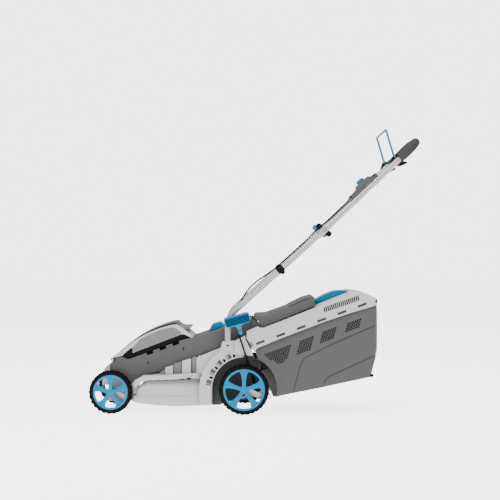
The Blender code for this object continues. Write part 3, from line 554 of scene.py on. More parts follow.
def around_axle(tree, given, link):
    line = tree.nodes.new("GeometryNodeMeshLine")
    index = tree.nodes.new("GeometryNodeInputIndex")
    angle = tree.nodes.new("ShaderNodeMath")
    angle.operation = "MULTIPLY_ADD"
    across, up = tree.nodes.new("ShaderNodeMath"), tree.nodes.new("ShaderNodeMath")
    across.operation, up.operation = "COSINE", "SINE"
    spot, turn = tree.nodes.new("ShaderNodeCombineXYZ"), tree.nodes.new("ShaderNodeCombineXYZ")
    reach, shift = tree.nodes.new("ShaderNodeVectorMath"), tree.nodes.new("ShaderNodeVectorMath")
    reach.operation, shift.operation = "SCALE", "ADD"
    back = tree.nodes.new("ShaderNodeMath")
    back.operation = "MULTIPLY"
    back.inputs[1].default_value = -1.0
    move = tree.nodes.new("GeometryNodeSetPosition")
    link(given.outputs["Count"], line.inputs["Count"])
    link(index.outputs["Index"], angle.inputs[0])
    link(given.outputs["Step"], angle.inputs[1])
    link(given.outputs["First"], angle.inputs[2])
    link(angle.outputs["Value"], across.inputs[0])
    link(angle.outputs["Value"], up.inputs[0])
    link(across.outputs["Value"], spot.inputs["X"])
    link(up.outputs["Value"], spot.inputs["Z"])
    link(spot.outputs["Vector"], reach.inputs[0])
    link(given.outputs["Radius"], reach.inputs["Scale"])
    link(reach.outputs["Vector"], shift.inputs[0])
    link(given.outputs["Centre"], shift.inputs[1])
    link(line.outputs["Mesh"], move.inputs["Geometry"])
    link(shift.outputs["Vector"], move.inputs["Position"])
    link(angle.outputs["Value"], back.inputs[0])
    link(given.outputs["Lean"], turn.inputs["X"])
    link(back.outputs["Value"], turn.inputs["Y"])
    return move.outputs["Geometry"], turn.outputs["Vector"]


print("placing rules: along a line and around an axle")

# %% The row and the ring
INT, FLOAT, VECTOR = "NodeSocketInt", "NodeSocketFloat", "NodeSocketVector"
ROW = block_tree("row_of_blocks", [("Count", INT), ("First", VECTOR), ("Step", VECTOR), ("Turn", VECTOR)],
                 along_line)
RING = block_tree(
    "ring_of_blocks",
    [("Count", INT), ("Centre", VECTOR), ("Radius", FLOAT), ("First", FLOAT), ("Step", FLOAT),
     ("Lean", FLOAT)], around_axle)


def grow(name, tree, material, **values):
    """Run one of the trees and return its result as a plain mesh."""
    made = bpy.data.objects.new(name, bpy.data.meshes.new(name))
    bpy.context.scene.collection.objects.link(made)
    step = made.modifiers.new("repeat", "NODES")
    step.node_group = tree
    sockets = {s.name: s.identifier for s in tree.interface.items_tree if s.in_out == "INPUT"}
    for label, value in {**values, "Material": material}.items():
        step[sockets[label]] = value
    return bake(made)


def row(name, count, first, step, size, material, turn=(0.0, 0.0, 0.0)):
    return grow(name, ROW, material, Count=count, First=tuple(first), Step=tuple(step), Size=tuple(size),
                Turn=tuple(turn))


def ring(name, count, centre, radius, first, step, size, material, lean=0.0):
    """Blocks around the Y axis through centre, from first degrees on, step degrees apart."""
    return grow(
        name, RING, material, Count=count, Centre=tuple(centre), Radius=radius,
        First=radians(first), Step=radians(step), Size=tuple(size), Lean=radians(lean),
    )


print("repeat trees:", ROW.name, RING.name)

# %% [markdown]
# ## Wheels
# A mower wheel is a hard rubber tread pushed over a one-piece rim that runs on a stub axle under a snap-on
# cap. The tyre's cross-section is turned about the axle. The lugs are two staggered rings of leaning
# blocks, because each lug of the real tread has the same mould shape. The five spokes widen towards the
# rim, so each is an outline with that flare, set into the rim and the hub. The right wheels mirror the left
# ones.

# %% Tyres
LUG_HEIGHT, LUG_PITCH, TYRE_DEPTH, RIM_DEPTH = 0.0042, 0.0190, 0.0138, 0.0140      # from the lug tips
SPOKES = 5


def middle(node):
    low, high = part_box(node)
    return (low + high) / 2


def make_tyre(label, at, outer, width):
    """The tread's base and sidewalls, with two rings of lugs; at is the axle and outer the ground radius."""
    y_in, base, seat = -(outer_face[label] - width), at[1] - LUG_HEIGHT, at[1] - TYRE_DEPTH
    profile = [
        (seat, 0.0005), (base - 0.0035, 0.0), (base - 0.0012, 0.0012), (base, 0.0045),
        (base + 0.0010, width * 0.5), (base, width - 0.0045), (base - 0.0012, width - 0.0012),
        (base - 0.0035, width), (seat + 0.0015, width), (seat, width - 0.0010), (seat - 0.0006, width * 0.5),
    ]
    body = turned(f"tyre_body_{label}", profile, at, y_in, -1, RUBBER, 96)
    lugs = []
    count = round(2 * pi * outer / LUG_PITCH)
    for half, share in ((0, 0.27), (1, 0.73)):
        lug_row = ring(f"lugs_{label}_{half}", count, (at[0], y_in - width * share, at[1]), outer - 0.0040,
                       half * 180 / count, 360 / count, (0.0078, width * 0.42, 0.0105), RUBBER,
                       lean=18 if half else -18)
        lugs.append(roll_edges(lug_row, 0.0009, 1))
    lugs.append(ring(f"shoulder_{label}", count, (at[0], y_in - width + 0.0016, at[1]), outer - 0.0068,
                     180 / count, 360 / count, (0.0085, 0.0024, 0.0075), RUBBER))
    return group_up(f"tyre_{label}_look", [body] + lugs)


print("lug height", LUG_HEIGHT, "and pitch", LUG_PITCH)


# %% Rims and caps
def make_rim(label, at, width):
    """Rim barrel with a rolled lip, five flared spokes, a hub and a ridge along each spoke."""
    y_in, out = -(outer_face[label] - width), at[1] - RIM_DEPTH
    profile = [
        (out - 0.0035, 0.0030), (out, 0.0030), (out, width - 0.0028), (out - 0.0012, width - 0.0012),
        (out - 0.0070, width - 0.0012), (out - 0.0085, width - 0.0026), (out - 0.0085, width - 0.0060),
        (out - 0.0035, width - 0.0085),
    ]
    rim = turned(f"rim_barrel_{label}", profile, at, y_in, -1, BLUE, 96)
    hub = [(0.0066, 0.0015), (0.0150, 0.0015), (0.0150, width - 0.0110), (0.0135, width - 0.0095),
           (0.0066, width - 0.0095)]
    parts = [rim, turned(f"hub_{label}", hub, at, y_in, -1, BLUE, 40)]
    face = y_in - width
    for spoke in range(SPOKES):
        turn = Matrix.Rotation(radians(90 + 360 / SPOKES * spoke), 2)
        reach = out - 0.0050
        flare = [(0.0080, -0.0066), (reach * 0.45, -0.0074), (reach * 0.76, -0.0100), (reach, -0.0190),
                 (reach, 0.0190), (reach * 0.76, 0.0100), (reach * 0.45, 0.0074), (0.0080, 0.0066)]
        outline = [tuple(Vector(at) + turn @ Vector(p)) for p in flare]
        parts.append(slab(f"spoke_{label}_{spoke}", outline, face + 0.0035, face + 0.0125, BLUE, 0.004,
                          0.0020))
        line = [(0.0130, -0.0012), (reach - 0.004, -0.0024), (reach - 0.004, 0.0024), (0.0130, 0.0012)]
        outline = [tuple(Vector(at) + turn @ Vector(p)) for p in line]
        parts.append(slab(f"ridge_{label}_{spoke}", outline, face + 0.0029, face + 0.0044, BLUE, 0.001,
                          0.0005))
    return group_up(f"rim_{label}_look", parts)


def make_cap(label, at):
    face = -outer_face[label]
    profile = [(0.0, 0.0010), (0.0070, 0.0014), (0.0112, 0.0026), (0.0134, 0.0044), (0.0140, 0.0066),
               (0.0140, 0.0092), (0.0, 0.0092)]
    cap = turned(f"cap_shell_{label}", profile, at, face, 1, BLUE, 40)
    clips = ring(f"cap_clips_{label}", 5, (at[0], face + 0.0068, at[1]), 0.0136, 54, 72,
                 (0.0018, 0.0040, 0.0042), BLUE)
    return group_up(f"wheel_cap_{label}_look", [cap, clips])


print("spokes in each rim:", SPOKES)

# %% The four wheels
outer_face = {}
for axle in ("rear", "front"):
    low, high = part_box(f"tyre_{axle}_left")
    label, centre = f"{axle}_left", middle(f"tyre_{axle}_left")
    outer_face[label] = -low.y
    at, width = (centre.x, centre.z), high.y - low.y
    looks = (make_tyre(label, at, at[1], width), make_rim(label, at, width), make_cap(label, at))
    for look, node, slot in zip(looks, ("tyre", "rim", "wheel_cap"), ("rubber", "blue", "blue")):
        other = mirrored(look, f"{node}_{axle}_right_look")
        hang(look, f"wheel_{label}", slot, f"{node}_{label}")
        hang(other, f"wheel_{axle}_right", slot, f"{node}_{axle}_right")
    print(axle, "wheel radius", round(at[1], 4), "width", round(width, 4), "triangles",
          sum(len(p.data.polygons) for p in looks))

# %% [markdown]
# ## Deck
# The deck is one big moulding: a domed housing round the blade, a nose between the front wheels with a
# bumper, a rear body between the crank arms and a chute that throws the grass up and back. The dome is
# skinned through plan rings that draw in as they rise, faster at the front corner than at the side, which
# gives the housing its round front corner. The nose, the bumper, the chute and the rear body's walls are
# slabs joined to it. Then the blade's chamber, the chute's bore and the room and bores for the crank axles
# are cut out of the whole.

# %% The housing's plan rings
BLADE_X = middle("blade_bolt").x
DRUM_R = 0.1990
FRONT_EDGE = -0.4380


def housing_ring(inset, height, lift=0.0):
    """One level of the dome; lift raises the rim in front of the blade."""
    centre = (-0.3900 + 0.6 * inset, 0.1480)
    reach = (centre[0] - FRONT_EDGE - 2.1 * inset, DRUM_R - inset - centre[1])
    half = [(FRONT_EDGE + 2.1 * inset, 0.1000)]
    half += [(centre[0] + reach[0] * cos(radians(t)), centre[1] + reach[1] * sin(radians(t)))
             for t in range(180, 89, -9)]
    half += [(-0.3600, DRUM_R - inset), (-0.3300, DRUM_R - inset)]
    half += arc((BLADE_X, 0), DRUM_R - inset, 90, 49, 12)
    half += [(-0.1500, 0.1480), (-0.1200, 0.1480)]
    ring_points = half + [(x, -y) for x, y in reversed(half)]
    return [(x, y, height + lift * max(0.0, min(1.0, (-0.29 - x) / 0.148)) ** 1.4) for x, y in ring_points]


DOME = [
    (0.0016, 0.0300, 0.013), (0.0, 0.0315, 0.013), (0.0, 0.0350, 0.012), (0.0002, 0.0530, 0.004),
    (0.0014, 0.0545, 0.003), (0.0016, 0.0610, 0), (0.0024, 0.0635, 0), (0.0058, 0.0655, 0),
    (0.0066, 0.0720, 0), (0.0078, 0.0830, 0), (0.0108, 0.0940, 0), (0.0150, 0.1030, 0), (0.0205, 0.1105, 0),
    (0.0270, 0.1160, 0), (0.0340, 0.1195, 0), (0.0400, 0.1205, 0),
]
dome = loft("housing", [housing_ring(*level) for level in DOME], LIGHT)
print("dome rings:", len(DOME), "half width", DRUM_R)

# %% Nose, bumper, rear body and chute, then the hollows
CRANKS = {"rear": (0.0129, 0.0631), "front": (-0.4590, 0.0514)}      # x and z of each crank axle
REAR_SIDE = [(-0.1852, 0.0308), (-0.1852, 0.1296), (0.0240, 0.1296), (0.0240, 0.0740), (-0.0900, 0.0420),
             (-0.1300, 0.0308)]
deck = join(
    dome,
    board("deck_top", [(-0.4400, -0.1310), (-0.4400, 0.1310), (-0.1000, 0.1480), (-0.1000, -0.1480)],
          0.1180, 0.1300, LIGHT, 0.01, 0),
    board("nose", [(-0.5250, -0.1200), (-0.5130, -0.1320), (-0.4300, -0.1320), (-0.4300, 0.1320),
                   (-0.5130, 0.1320), (-0.5250, 0.1200)],
          0.0420, 0.1295, LIGHT, 0.008, 0.0030),
    slab("rear_front", [(-0.1850, 0.0310), (-0.1850, 0.1290), (-0.1590, 0.1290), (-0.1590, 0.0310)],
         -0.1550, 0.1550, LIGHT, 0.003, 0),
    board("rear_top", [(-0.1840, -0.1552), (-0.1840, 0.1552), (0.0230, 0.1552), (0.0230, -0.1552)], 0.1253,
          0.1293, LIGHT, 0.002, 0),
    *[slab(f"rear_side_{n}", REAR_SIDE, s * 0.1520, s * 0.1560, LIGHT, 0.003, 0.0012) for n, s in SIDES],
    slab("bumper", [(-0.5480, 0.0960), (-0.5480, 0.1290), (-0.5440, 0.1500), (-0.5330, 0.1630),
                    (-0.5215, 0.1720), (-0.5210, 0.0960)],
         -0.0980, 0.0980, LIGHT, 0.004, 0.0060),
    slab("chute", [(-0.1680, 0.1200), (-0.1600, 0.1480), (-0.0950, 0.2180), (-0.0240, 0.2360),
                   (0.0350, 0.0800), (-0.1000, 0.0420),
                   (-0.1680, 0.0420)], -0.1120, 0.1120, LIGHT, 0.003, 0.0020),
)
round_hollow = [[(BLADE_X + r * cos(t * pi / 36), r * sin(t * pi / 36), z) for t in range(72)]
                for r, z in ((0.1920, 0.0), (0.1920, 0.0600), (0.1880, 0.0820), (0.1760, 0.1000),
                             (0.1560, 0.1160))]
cut(
    deck,
    loft("chamber", round_hollow, LIGHT),
    slab("chute_bore", [(-0.1640, 0.0460), (-0.1640, 0.1300), (-0.0930, 0.2140), (0.0300, 0.2470),
                        (0.0650, 0.0850), (-0.1000, 0.0460)],
         -0.1080, 0.1080, LIGHT, 0, 0),
    block("nose_hollow", (-0.5130, -0.1280, 0.0), (-0.4300, 0.1280, 0.1250), LIGHT, 0),
    slab("axle_room", [(-0.0920, 0.0), (-0.0920, 0.0400), (0.0205, 0.0710), (0.0205, 0.0)], -0.1512, 0.1512,
         LIGHT, 0, 0),
)
for label, (x_mid, z_mid) in CRANKS.items():
    cut(deck, block(f"{label}_slot", (x_mid - 0.050, -0.1285, 0.040), (x_mid + 0.050, -0.1165, 0.146),
                    LIGHT, 0))
    bore = [(0.0, 0.0), (0.0086, 0.0), (0.0086, 0.34), (0.0, 0.34)]
    cut(deck, turned(f"{label}_bore", bore, (x_mid, z_mid), -0.17, 1, LIGHT, 24))
cut(deck, loft("shaft_hole", [[(BLADE_X + 0.012 * cos(t * pi / 12), 0.012 * sin(t * pi / 12), z)
                               for t in range(24)] for z in (0.10, 0.15)], LIGHT))
deck.name = "deck_shell_look"
hang(deck, "deck", "light_grey", "deck_shell")
print("deck faces:", len(deck.data.polygons), "lowest point",
      round(min(v.co.z for v in deck.data.vertices), 4))

# %% [markdown]
# ## Side rails and ribs
# A shelf runs along each side where the dome meets the cover. It follows the housing's plan, so the shelf's
# side outline is intersected with a plan outline. Stepped ribs climb beside the cover and take up the rear
# load; the set-back ribs are darker, as painted shade of the gaps between them. Small drain slots show as a
# dark row under the shelf: black blocks, painted shade of their insides and of the shelf's shadow.

# %% Rails, ribs and drain slots
RAIL = [
    (-0.4370, 0.0970), (-0.4280, 0.1170), (-0.3970, 0.1350), (-0.2050, 0.1430), (-0.1780, 0.1440),
    (-0.1780, 0.1280), (-0.3860, 0.1200), (-0.4130, 0.1080), (-0.4270, 0.0900),
]
COVER_SIDE, RIB_FOOT, SHELF_R = 0.1366, 0.1395, 0.1955      # cover wall, rib ends, shelf edge
RAIL_PLAN = (
    [(-0.4400, COVER_SIDE)]
    + [(-0.3850 + 0.0530 * cos(radians(t)), 0.1480 + 0.0470 * sin(radians(t))) for t in range(172, 89, -10)]
    + [(-0.3300, SHELF_R)] + arc((BLADE_X, 0), SHELF_R, 90, 64, 6) + [(-0.1780, COVER_SIDE)]
)
# The set-back ribs and the ramp take the darker panel grey as painted shade of the gaps between the raised
# ribs.
RIBS = (      # front end, rear end, top, outer face and finish of each rib
    (-0.3200, -0.2920, 0.1700, 0.1560, LIGHT),
    (-0.2900, -0.2620, 0.1840, 0.1500, PANEL),
    (-0.2600, -0.2290, 0.1940, 0.1640, LIGHT),
    (-0.2275, -0.2110, 0.2030, 0.1500, PANEL),
)
SHOULDER = [(-0.2095, RIB_FOOT), (-0.1300, RIB_FOOT), (-0.1150, 0.2360), (-0.1790, 0.2100), (-0.2095, 0.1975)]
rail = slab("rail", RAIL, COVER_SIDE, 0.1990, LIGHT, 0.006, 0)
combine(rail, [board("rail_plan", RAIL_PLAN, 0.05, 0.25, LIGHT, 0, 0)], "INTERSECT")
roll_edges(rail, 0.0012, 2, 50)
ribs = [slab(f"rib_{i}", [(a, RIB_FOOT), (b, RIB_FOOT), (b, top), (a, top - 0.008)], COVER_SIDE, out,
             finish_of, 0.003, 0.0012)
        for i, (a, b, top, out, finish_of) in enumerate(RIBS)]
ribs.append(slab("rib_ramp", [(-0.3480, 0.1380), (-0.3220, 0.1385), (-0.3220, 0.1560)], COVER_SIDE, 0.1470,
                 PANEL, 0.002, 0.0008))
ribs.append(slab("rib_shoulder", SHOULDER, COVER_SIDE, 0.1560, LIGHT, 0.004, 0.0014))
# The drain slots are black blocks under the shelf, painted shade of their insides and of the shelf's shadow.
slots = row("drain_slot_shades", 6, (-0.3700, 0.1880, 0.1200), (0.0270, 0, 0.0012), (0.0150, 0.0080, 0.0045),
            BLACK, (0, radians(-2.2), 0))
screw = turned("rail_screw", [(0.0, 0.0), (0.0028, 0.0), (0.0032, 0.0008), (0.0032, 0.0060), (0.0, 0.0060)],
               (-0.2260, 0.1360), 0.1830, -1, BLACK, 16)
right_rail = group_up("side_rail_right_look", [rail] + ribs + [slots, screw])
left_rail = mirrored(right_rail, "side_rail_left_look")
hang(left_rail, "deck", "light_grey", "side_rail_left")
hang(right_rail, "deck", "light_grey", "side_rail_right")
print("ribs on each side:", len(ribs))

# %% [markdown]
# ## Wheel arches
# Each rear arch is a curved guard that also carries the handle's foot socket. Five detent pockets lie along
# its inner edge, and small square windows sit between them, all on circles about the rear axle, so both
# come from the ring tree as cutters. Grey and black plates behind them are painted shade, which gives the
# depth. Each pocket has a tooth and thin ribs stand beside it. A shoulder fills the corner under the
# collector's lid, and a liner closes the wheel's well; its dark colour is painted shade of that recess.

# %% Arch, pockets and liner
REAR = middle("tyre_rear_left")
REAR_C = (REAR.x, REAR.z)
ARCH = (
    [(-0.1990, 0.0330), (-0.1990, 0.0900)] + arc(REAR_C, 0.1580, 176, 124, 14)
    + [(-0.1200, 0.2430), (-0.1180, 0.2560), (-0.0760, 0.2585), (-0.0440, 0.2600)]
    + arc(REAR_C, 0.1130, 91, 180, 28) + [(-0.1560, 0.0330)]
)
ARCH_FACE, POCKET_R, WINDOW_R = 0.1850, 0.1265, 0.1225
POCKETS = (5, 169.4, -17.95)      # how many, the first one's angle and the step to the next, in degrees
arch = slab("arch", ARCH, 0.1575, ARCH_FACE, LIGHT, 0.003, 0.0020)
count, first, step = POCKETS
spot = (REAR_C[0], ARCH_FACE, REAR_C[1])
cut(
    arch,
    ring("pocket_cuts", count, spot, POCKET_R, first, step, (0.0180, 0.0080, 0.0200), LIGHT),
    ring("window_cuts", count - 1, spot, WINDOW_R, first + step / 2, step, (0.0130, 0.0120, 0.0086), LIGHT),
    block("foot_hole", (-0.1098, 0.1638, 0.2335), (-0.0862, 0.1862, 0.2700), LIGHT, 0),
)
# The grey pocket floors and the black window plates are painted shade inside the cut-outs.
extras = [
    ring("pocket_shade_floors", count, (spot[0], 0.1818, spot[2]), POCKET_R, first, step,
         (0.0178, 0.0012, 0.0198), MID),
    ring("pocket_teeth", count, (spot[0], 0.1835, spot[2]), POCKET_R, first + 2.0, step,
         (0.0176, 0.0030, 0.0016), LIGHT),
    ring("window_shade_plates", count - 1, (spot[0], 0.1812, spot[2]), WINDOW_R, first + step / 2, step,
         (0.0128, 0.0012, 0.0084), BLACK),
    ring("window_ribs", 2 * count - 2, (spot[0], 0.1850, spot[2]), POCKET_R, first + step / 2 + 2.6,
         step / 2, (0.0180, 0.0024, 0.0014), LIGHT),
    ring("arch_ridges", 9, (spot[0], 0.1852, spot[2]), 0.1480, 172, step / 2, (0.0180, 0.0018, 0.0016),
         LIGHT),
    slab("arch_shoulder", [
        (-0.0560, 0.2120), (-0.0760, 0.2570), (-0.0560, 0.2680), (-0.0370, 0.2780), (-0.0355, 0.2640),
        (-0.0205, 0.2330), (-0.0095, 0.2190), (-0.0115, 0.2050), (-0.0300, 0.2080),
    ], 0.1740, 0.1850, LIGHT, 0.001, 0.0008),
    slab("arch_lip", arc(REAR_C, 0.1168, 180, 96, 24) + arc(REAR_C, 0.1132, 96, 180, 24), 0.1730, 0.1872,
         LIGHT, 0, 0.0008),
    slab("socket_bracket", [(-0.1170, 0.2250), (-0.1160, 0.2560), (-0.0800, 0.2590), (-0.0790, 0.2250)],
         0.1845, 0.1925, LIGHT, 0.003, 0.0015),
    slab("arch_step", [(-0.0760, 0.2240), (-0.0760, 0.2585), (-0.0450, 0.2600), (-0.0450, 0.2080),
                       (-0.0600, 0.2060)],
         0.1600, 0.1872, LIGHT, 0.003, 0.0012),
]
right_arch = group_up("wheel_arch_right_look", [arch] + extras)
left_arch = mirrored(right_arch, "wheel_arch_left_look")
# The liner is a thin plate over the well's inner wall; its dark colour is painted shade of that recessed
# wall.
WELL_SHADE_LINE = (
    [(-0.1530, 0.0300)] + arc(REAR_C, 0.1124, 180, 62, 30)
    + [(0.0100, 0.1850), (0.0190, 0.1300), (0.0190, 0.0800), (-0.0900, 0.0450), (-0.1300, 0.0300)]
)
right_well_shade = slab("wheel_well_shade_right", WELL_SHADE_LINE, 0.1562, 0.1574, SHADE_GREY, 0, 0.0004)
left_well_shade = mirrored(right_well_shade, "wheel_well_shade_left")
head = [(0.0, 0.0), (0.0034, 0.0003), (0.0040, 0.0012), (0.0040, 0.0030), (0.0022, 0.0030),
        (0.0022, 0.0120), (0.0, 0.0120)]
for name, sign, look, liner in (("left", -1, left_arch, left_well_shade), ("right", 1, right_arch, right_well_shade)):
    hang(look, "deck", "light_grey", f"wheel_arch_{name}")
    hang(liner, "deck", "mid_grey")
    foot = middle(f"foot_screw_{name}")
    hang(turned(f"foot_screw_{name}_look", head, (foot.x, foot.z), sign * 0.1945, -sign, BLACK, 24), "deck",
         "steel", f"foot_screw_{name}")
print("detent pockets on each arch:", count)

# %% [markdown]
# ## Top cover
# The cover is a hollow grey shell with full rolled shoulders that slopes up to the rear. Its battery bay is
# open on top with a castellated rim, whose notches guide the lid. The shell is a slab with a wide bevel;
# the bay, the hollow and the notches are cut, and the two cheeks that reach down over the nose are joined
# on. Two small cheeks at its rear end stand beside the flap's hinge.

# %% Cover with the bay's notches
COVER = [
    (-0.5160, 0.1790), (-0.5160, 0.1330), (-0.4000, 0.1330), (-0.3390, 0.1460), (-0.1790, 0.2120),
    (-0.1120, 0.2390), (-0.0560, 0.2600), (0.0040, 0.2860), (-0.0120, 0.3260), (-0.0120, 0.3360),
    (-0.0500, 0.3250), (-0.1650, 0.2850), (-0.2150, 0.2670), (-0.2530, 0.2620), (-0.4560, 0.1890),
    (-0.4740, 0.2005), (-0.4980, 0.1950), (-0.5030, 0.1790),
]
BAY_FOOT, BAY_ANGLE = (-0.4560, 0.1890), radians(19.8)


def bay(along, above):
    """A side-view point measured along and above the sloping edge of the battery bay."""
    return (BAY_FOOT[0] + along * cos(BAY_ANGLE) - above * sin(BAY_ANGLE),
            BAY_FOOT[1] + along * sin(BAY_ANGLE) + above * cos(BAY_ANGLE))


COVER_HOLLOW = [
    (-0.5120, 0.1000), (-0.5120, 0.1765), (-0.4830, 0.1850), (-0.4560, 0.1840), (-0.2530, 0.2570),
    (-0.2150, 0.2620), (-0.1650, 0.2800), (-0.0500, 0.3200), (-0.0240, 0.3270), (-0.0120, 0.2910),
    (-0.0300, 0.2660), (-0.0300, 0.1000),
]
cover = slab("top_cover_look", COVER, -0.1360, 0.1360, MID, 0.010, 0.0070, 4)
join(cover, *[slab(f"cheek_{n}", [(-0.5150, 0.1800), (-0.5150, 0.1560), (-0.4440, 0.1010),
                                  (-0.4320, 0.1170), (-0.3900, 0.1340), (-0.3800, 0.1600)],
                   s * 0.1326, s * 0.1359, MID, 0.003, 0.0008) for n, s in SIDES])
cut(
    cover,
    slab("cover_hollow", COVER_HOLLOW, -0.1325, 0.1325, MID, 0, 0),
    slab("bay_hole", [bay(0.004, -0.020), bay(0.2080, -0.020), bay(0.2080, 0.030), bay(0.004, 0.030)],
         -0.1150, 0.1150, MID, 0, 0),
    slab("rear_clearance", [(-0.0335, 0.20), (-0.0335, 0.2580), (0.020, 0.2700), (0.020, 0.20)], -0.2, 0.2,
         MID, 0, 0),
    block("hand_room", (-0.1545, -0.0460, 0.2600), (-0.1200, 0.0460, 0.3300), MID, 0),
)
NOTCHES = 3
notch_at, notch_step = bay(0.0835, 0.0), Vector(bay(0.0490, 0.0)) - Vector(BAY_FOOT)
for name, sign in SIDES:
    notches = row(f"notches_{name}", NOTCHES, (notch_at[0], sign * 0.1260, notch_at[1]),
                  (notch_step.x, 0, notch_step.y), (0.0245, 0.0250, 0.0190), MID, (0, -BAY_ANGLE, 0))
    cut(cover, notches)
LID_AXIS = (middle("lid_hinge_pin").x, middle("lid_hinge_pin").z)
lug = turned("lid_lug", [(0.0030, 0.0), (0.0065, 0.0), (0.0065, 0.0696), (0.0030, 0.0696)], LID_AXIS,
             -0.0348, 1, MID, 32)
foot = block("lug_foot", (-0.5155, -0.0345, 0.1720), (-0.5070, 0.0345, 0.1850), MID, 0.0006)
# Each recess on the cover's side is a flat black mark, painted shade of its hollow.
RECESSES = ((-0.3820, 0.1780), (-0.2560, 0.2280))
RECESS_LINE = ((-0.0026, -0.0050), (0.0014, -0.0050), (0.0034, 0.0050), (-0.0016, 0.0050))
marks = [slab(f"recess_{n}_{i}", [(x + a, z + b) for a, b in RECESS_LINE], s * 0.1350, s * 0.1362, BLACK,
              0.001, 0.0003)
         for n, s in SIDES for i, (x, z) in enumerate(RECESSES)]
CHEEK = [(-0.0130, 0.2900), (-0.0130, 0.3340), (-0.0075, 0.3325), (0.0060, 0.3270), (0.0095, 0.3200),
         (0.0095, 0.2960), (0.0050, 0.2900)]
cheeks = [slab(f"hinge_cheek_{n}", CHEEK, s * 0.1330, s * 0.1440, MID, 0.001, 0.0008) for n, s in SIDES]
hang(group_up("top_cover_look", [cover, lug, foot] + marks + cheeks), "deck", "mid_grey", "top_cover")
print("bay notches on each side:", NOTCHES)

# %% [markdown]
# ## Carry handle and what shows in the bay
# The blue carry handle is a stout bar with a hand gap, set into the cover. In the bay the black tray, the
# two batteries and the key keep their solid shapes, because they are plain boxes on the real mower too;
# ribs and a latch are added to each battery, as its case has them.

# %% Carry handle and batteries
CARRY = [(-0.1690, 0.2860), (-0.1610, 0.3040), (-0.1540, 0.3110), (-0.1290, 0.3175), (-0.1220, 0.3160),
         (-0.1190, 0.3100), (-0.1125, 0.3085), (-0.1120, 0.3030)]
carry = slab("carry_handle_look", CARRY, -0.0650, 0.0650, BLUE, 0.005, 0.0035)
cut(carry, slab("hand_gap", [(-0.20, 0.26), (-0.20, 0.2935), (-0.08, 0.3070), (-0.08, 0.26)], -0.0500,
                0.0500, BLUE, 0, 0))
hang(carry, "deck", "blue", "carry_handle")
for number, sign in ((1, -1), (2, 1)):
    start, along = bay(0.0480, 0.0184), Vector((cos(BAY_ANGLE), 0, sin(BAY_ANGLE)))
    ribs = row(f"battery_ribs_{number}", 9, (start[0], sign * 0.0500, start[1]), along * 0.0120,
               (0.0040, 0.0600, 0.0022), BLACK, (0, -BAY_ANGLE, 0))
    catch = slab(f"catch_{number}", [bay(0.1480, 0.0175), bay(0.1640, 0.0175), bay(0.1620, 0.0225),
                                     bay(0.1500, 0.0225)],
                 sign * 0.0380, sign * 0.0620, BLUE, 0.002, 0.0010)
    hang(group_up(f"battery_{number}_trim", [ribs, catch]), f"battery_{number}", "black")
print("batteries trimmed: 2")

# %% [markdown]
# ## Battery lid
# The lid is a light shell hinged at the nose, with a grey side panel, a smoked window along its top and a
# pull tab at the rear. The panel stands a millimetre proud, as a separately moulded insert does. A wedge is
# cut out of the shell beside the panel, and a black sheet set just inside the shell shows in it. The window
# is one strip that follows the lid's curve and thickens to the rear, so it reads as a dark line from the
# side.

# %% Lid shell, panels and window
LID_TOP = [
    (-0.5130, 0.1960), (-0.4810, 0.2190), (-0.4450, 0.2480), (-0.4100, 0.2705), (-0.3750, 0.2885),
    (-0.3390, 0.3022), (-0.3040, 0.3122), (-0.2840, 0.3150),
]
LID = LID_TOP + [
    (-0.2640, 0.3030), (-0.2205, 0.2680), (-0.2290, 0.2650), (-0.2540, 0.2790), (-0.2620, 0.2790),
    (-0.4350, 0.2135), (-0.4700, 0.2030), (-0.5120, 0.1930),
]
LID_HOLLOW = [
    (-0.4880, 0.2100), (-0.4450, 0.2435), (-0.4100, 0.2660), (-0.3750, 0.2840), (-0.3390, 0.2980),
    (-0.3040, 0.3080), (-0.2860, 0.3105), (-0.2530, 0.2855), (-0.2310, 0.2620), (-0.2300, 0.2300),
    (-0.4900, 0.1500),
]
LID_Y = 0.1280
lid = slab("lid_shell", LID, -LID_Y, LID_Y, LIGHT, 0.003, 0.0018)
cut(
    lid,
    slab("lid_hollow", LID_HOLLOW, -LID_Y + 0.003, LID_Y - 0.003, LIGHT, 0, 0),
    block("window_hole", (-0.4305, -0.0955, 0.24), (-0.3065, 0.0955, 0.33), LIGHT, 0),
)
hinge = [turned(f"barrel_{n}", [(0.0030, 0.0), (0.0062, 0.0), (0.0062, 0.0840), (0.0030, 0.0840)], LID_AXIS,
                s * 0.0360, s, LIGHT, 32) for n, s in SIDES]
PANEL_LINE = [
    (-0.4400, 0.2290), (-0.4360, 0.2145), (-0.2620, 0.2795), (-0.2700, 0.2900), (-0.2920, 0.3035),
    (-0.3060, 0.3030), (-0.3420, 0.2930), (-0.3780, 0.2790), (-0.4130, 0.2600),
]
WEDGE = [(-0.4760, 0.1900), (-0.4720, 0.2060), (-0.4560, 0.2200), (-0.4430, 0.2310), (-0.4380, 0.2280),
         (-0.4360, 0.1900)]
LID_BACKING = [(-0.4745, 0.2040), (-0.4450, 0.2400), (-0.4100, 0.2620), (-0.3400, 0.2940), (-0.3000, 0.3060),
          (-0.2800, 0.3000), (-0.2400, 0.2700),
          (-0.2560, 0.2645), (-0.4530, 0.1935), (-0.4700, 0.1955)]
cut(lid, *[slab(f"wedge_cut_{n}", WEDGE, s * 0.1240, s * 0.1290, LIGHT, 0, 0) for n, s in SIDES])
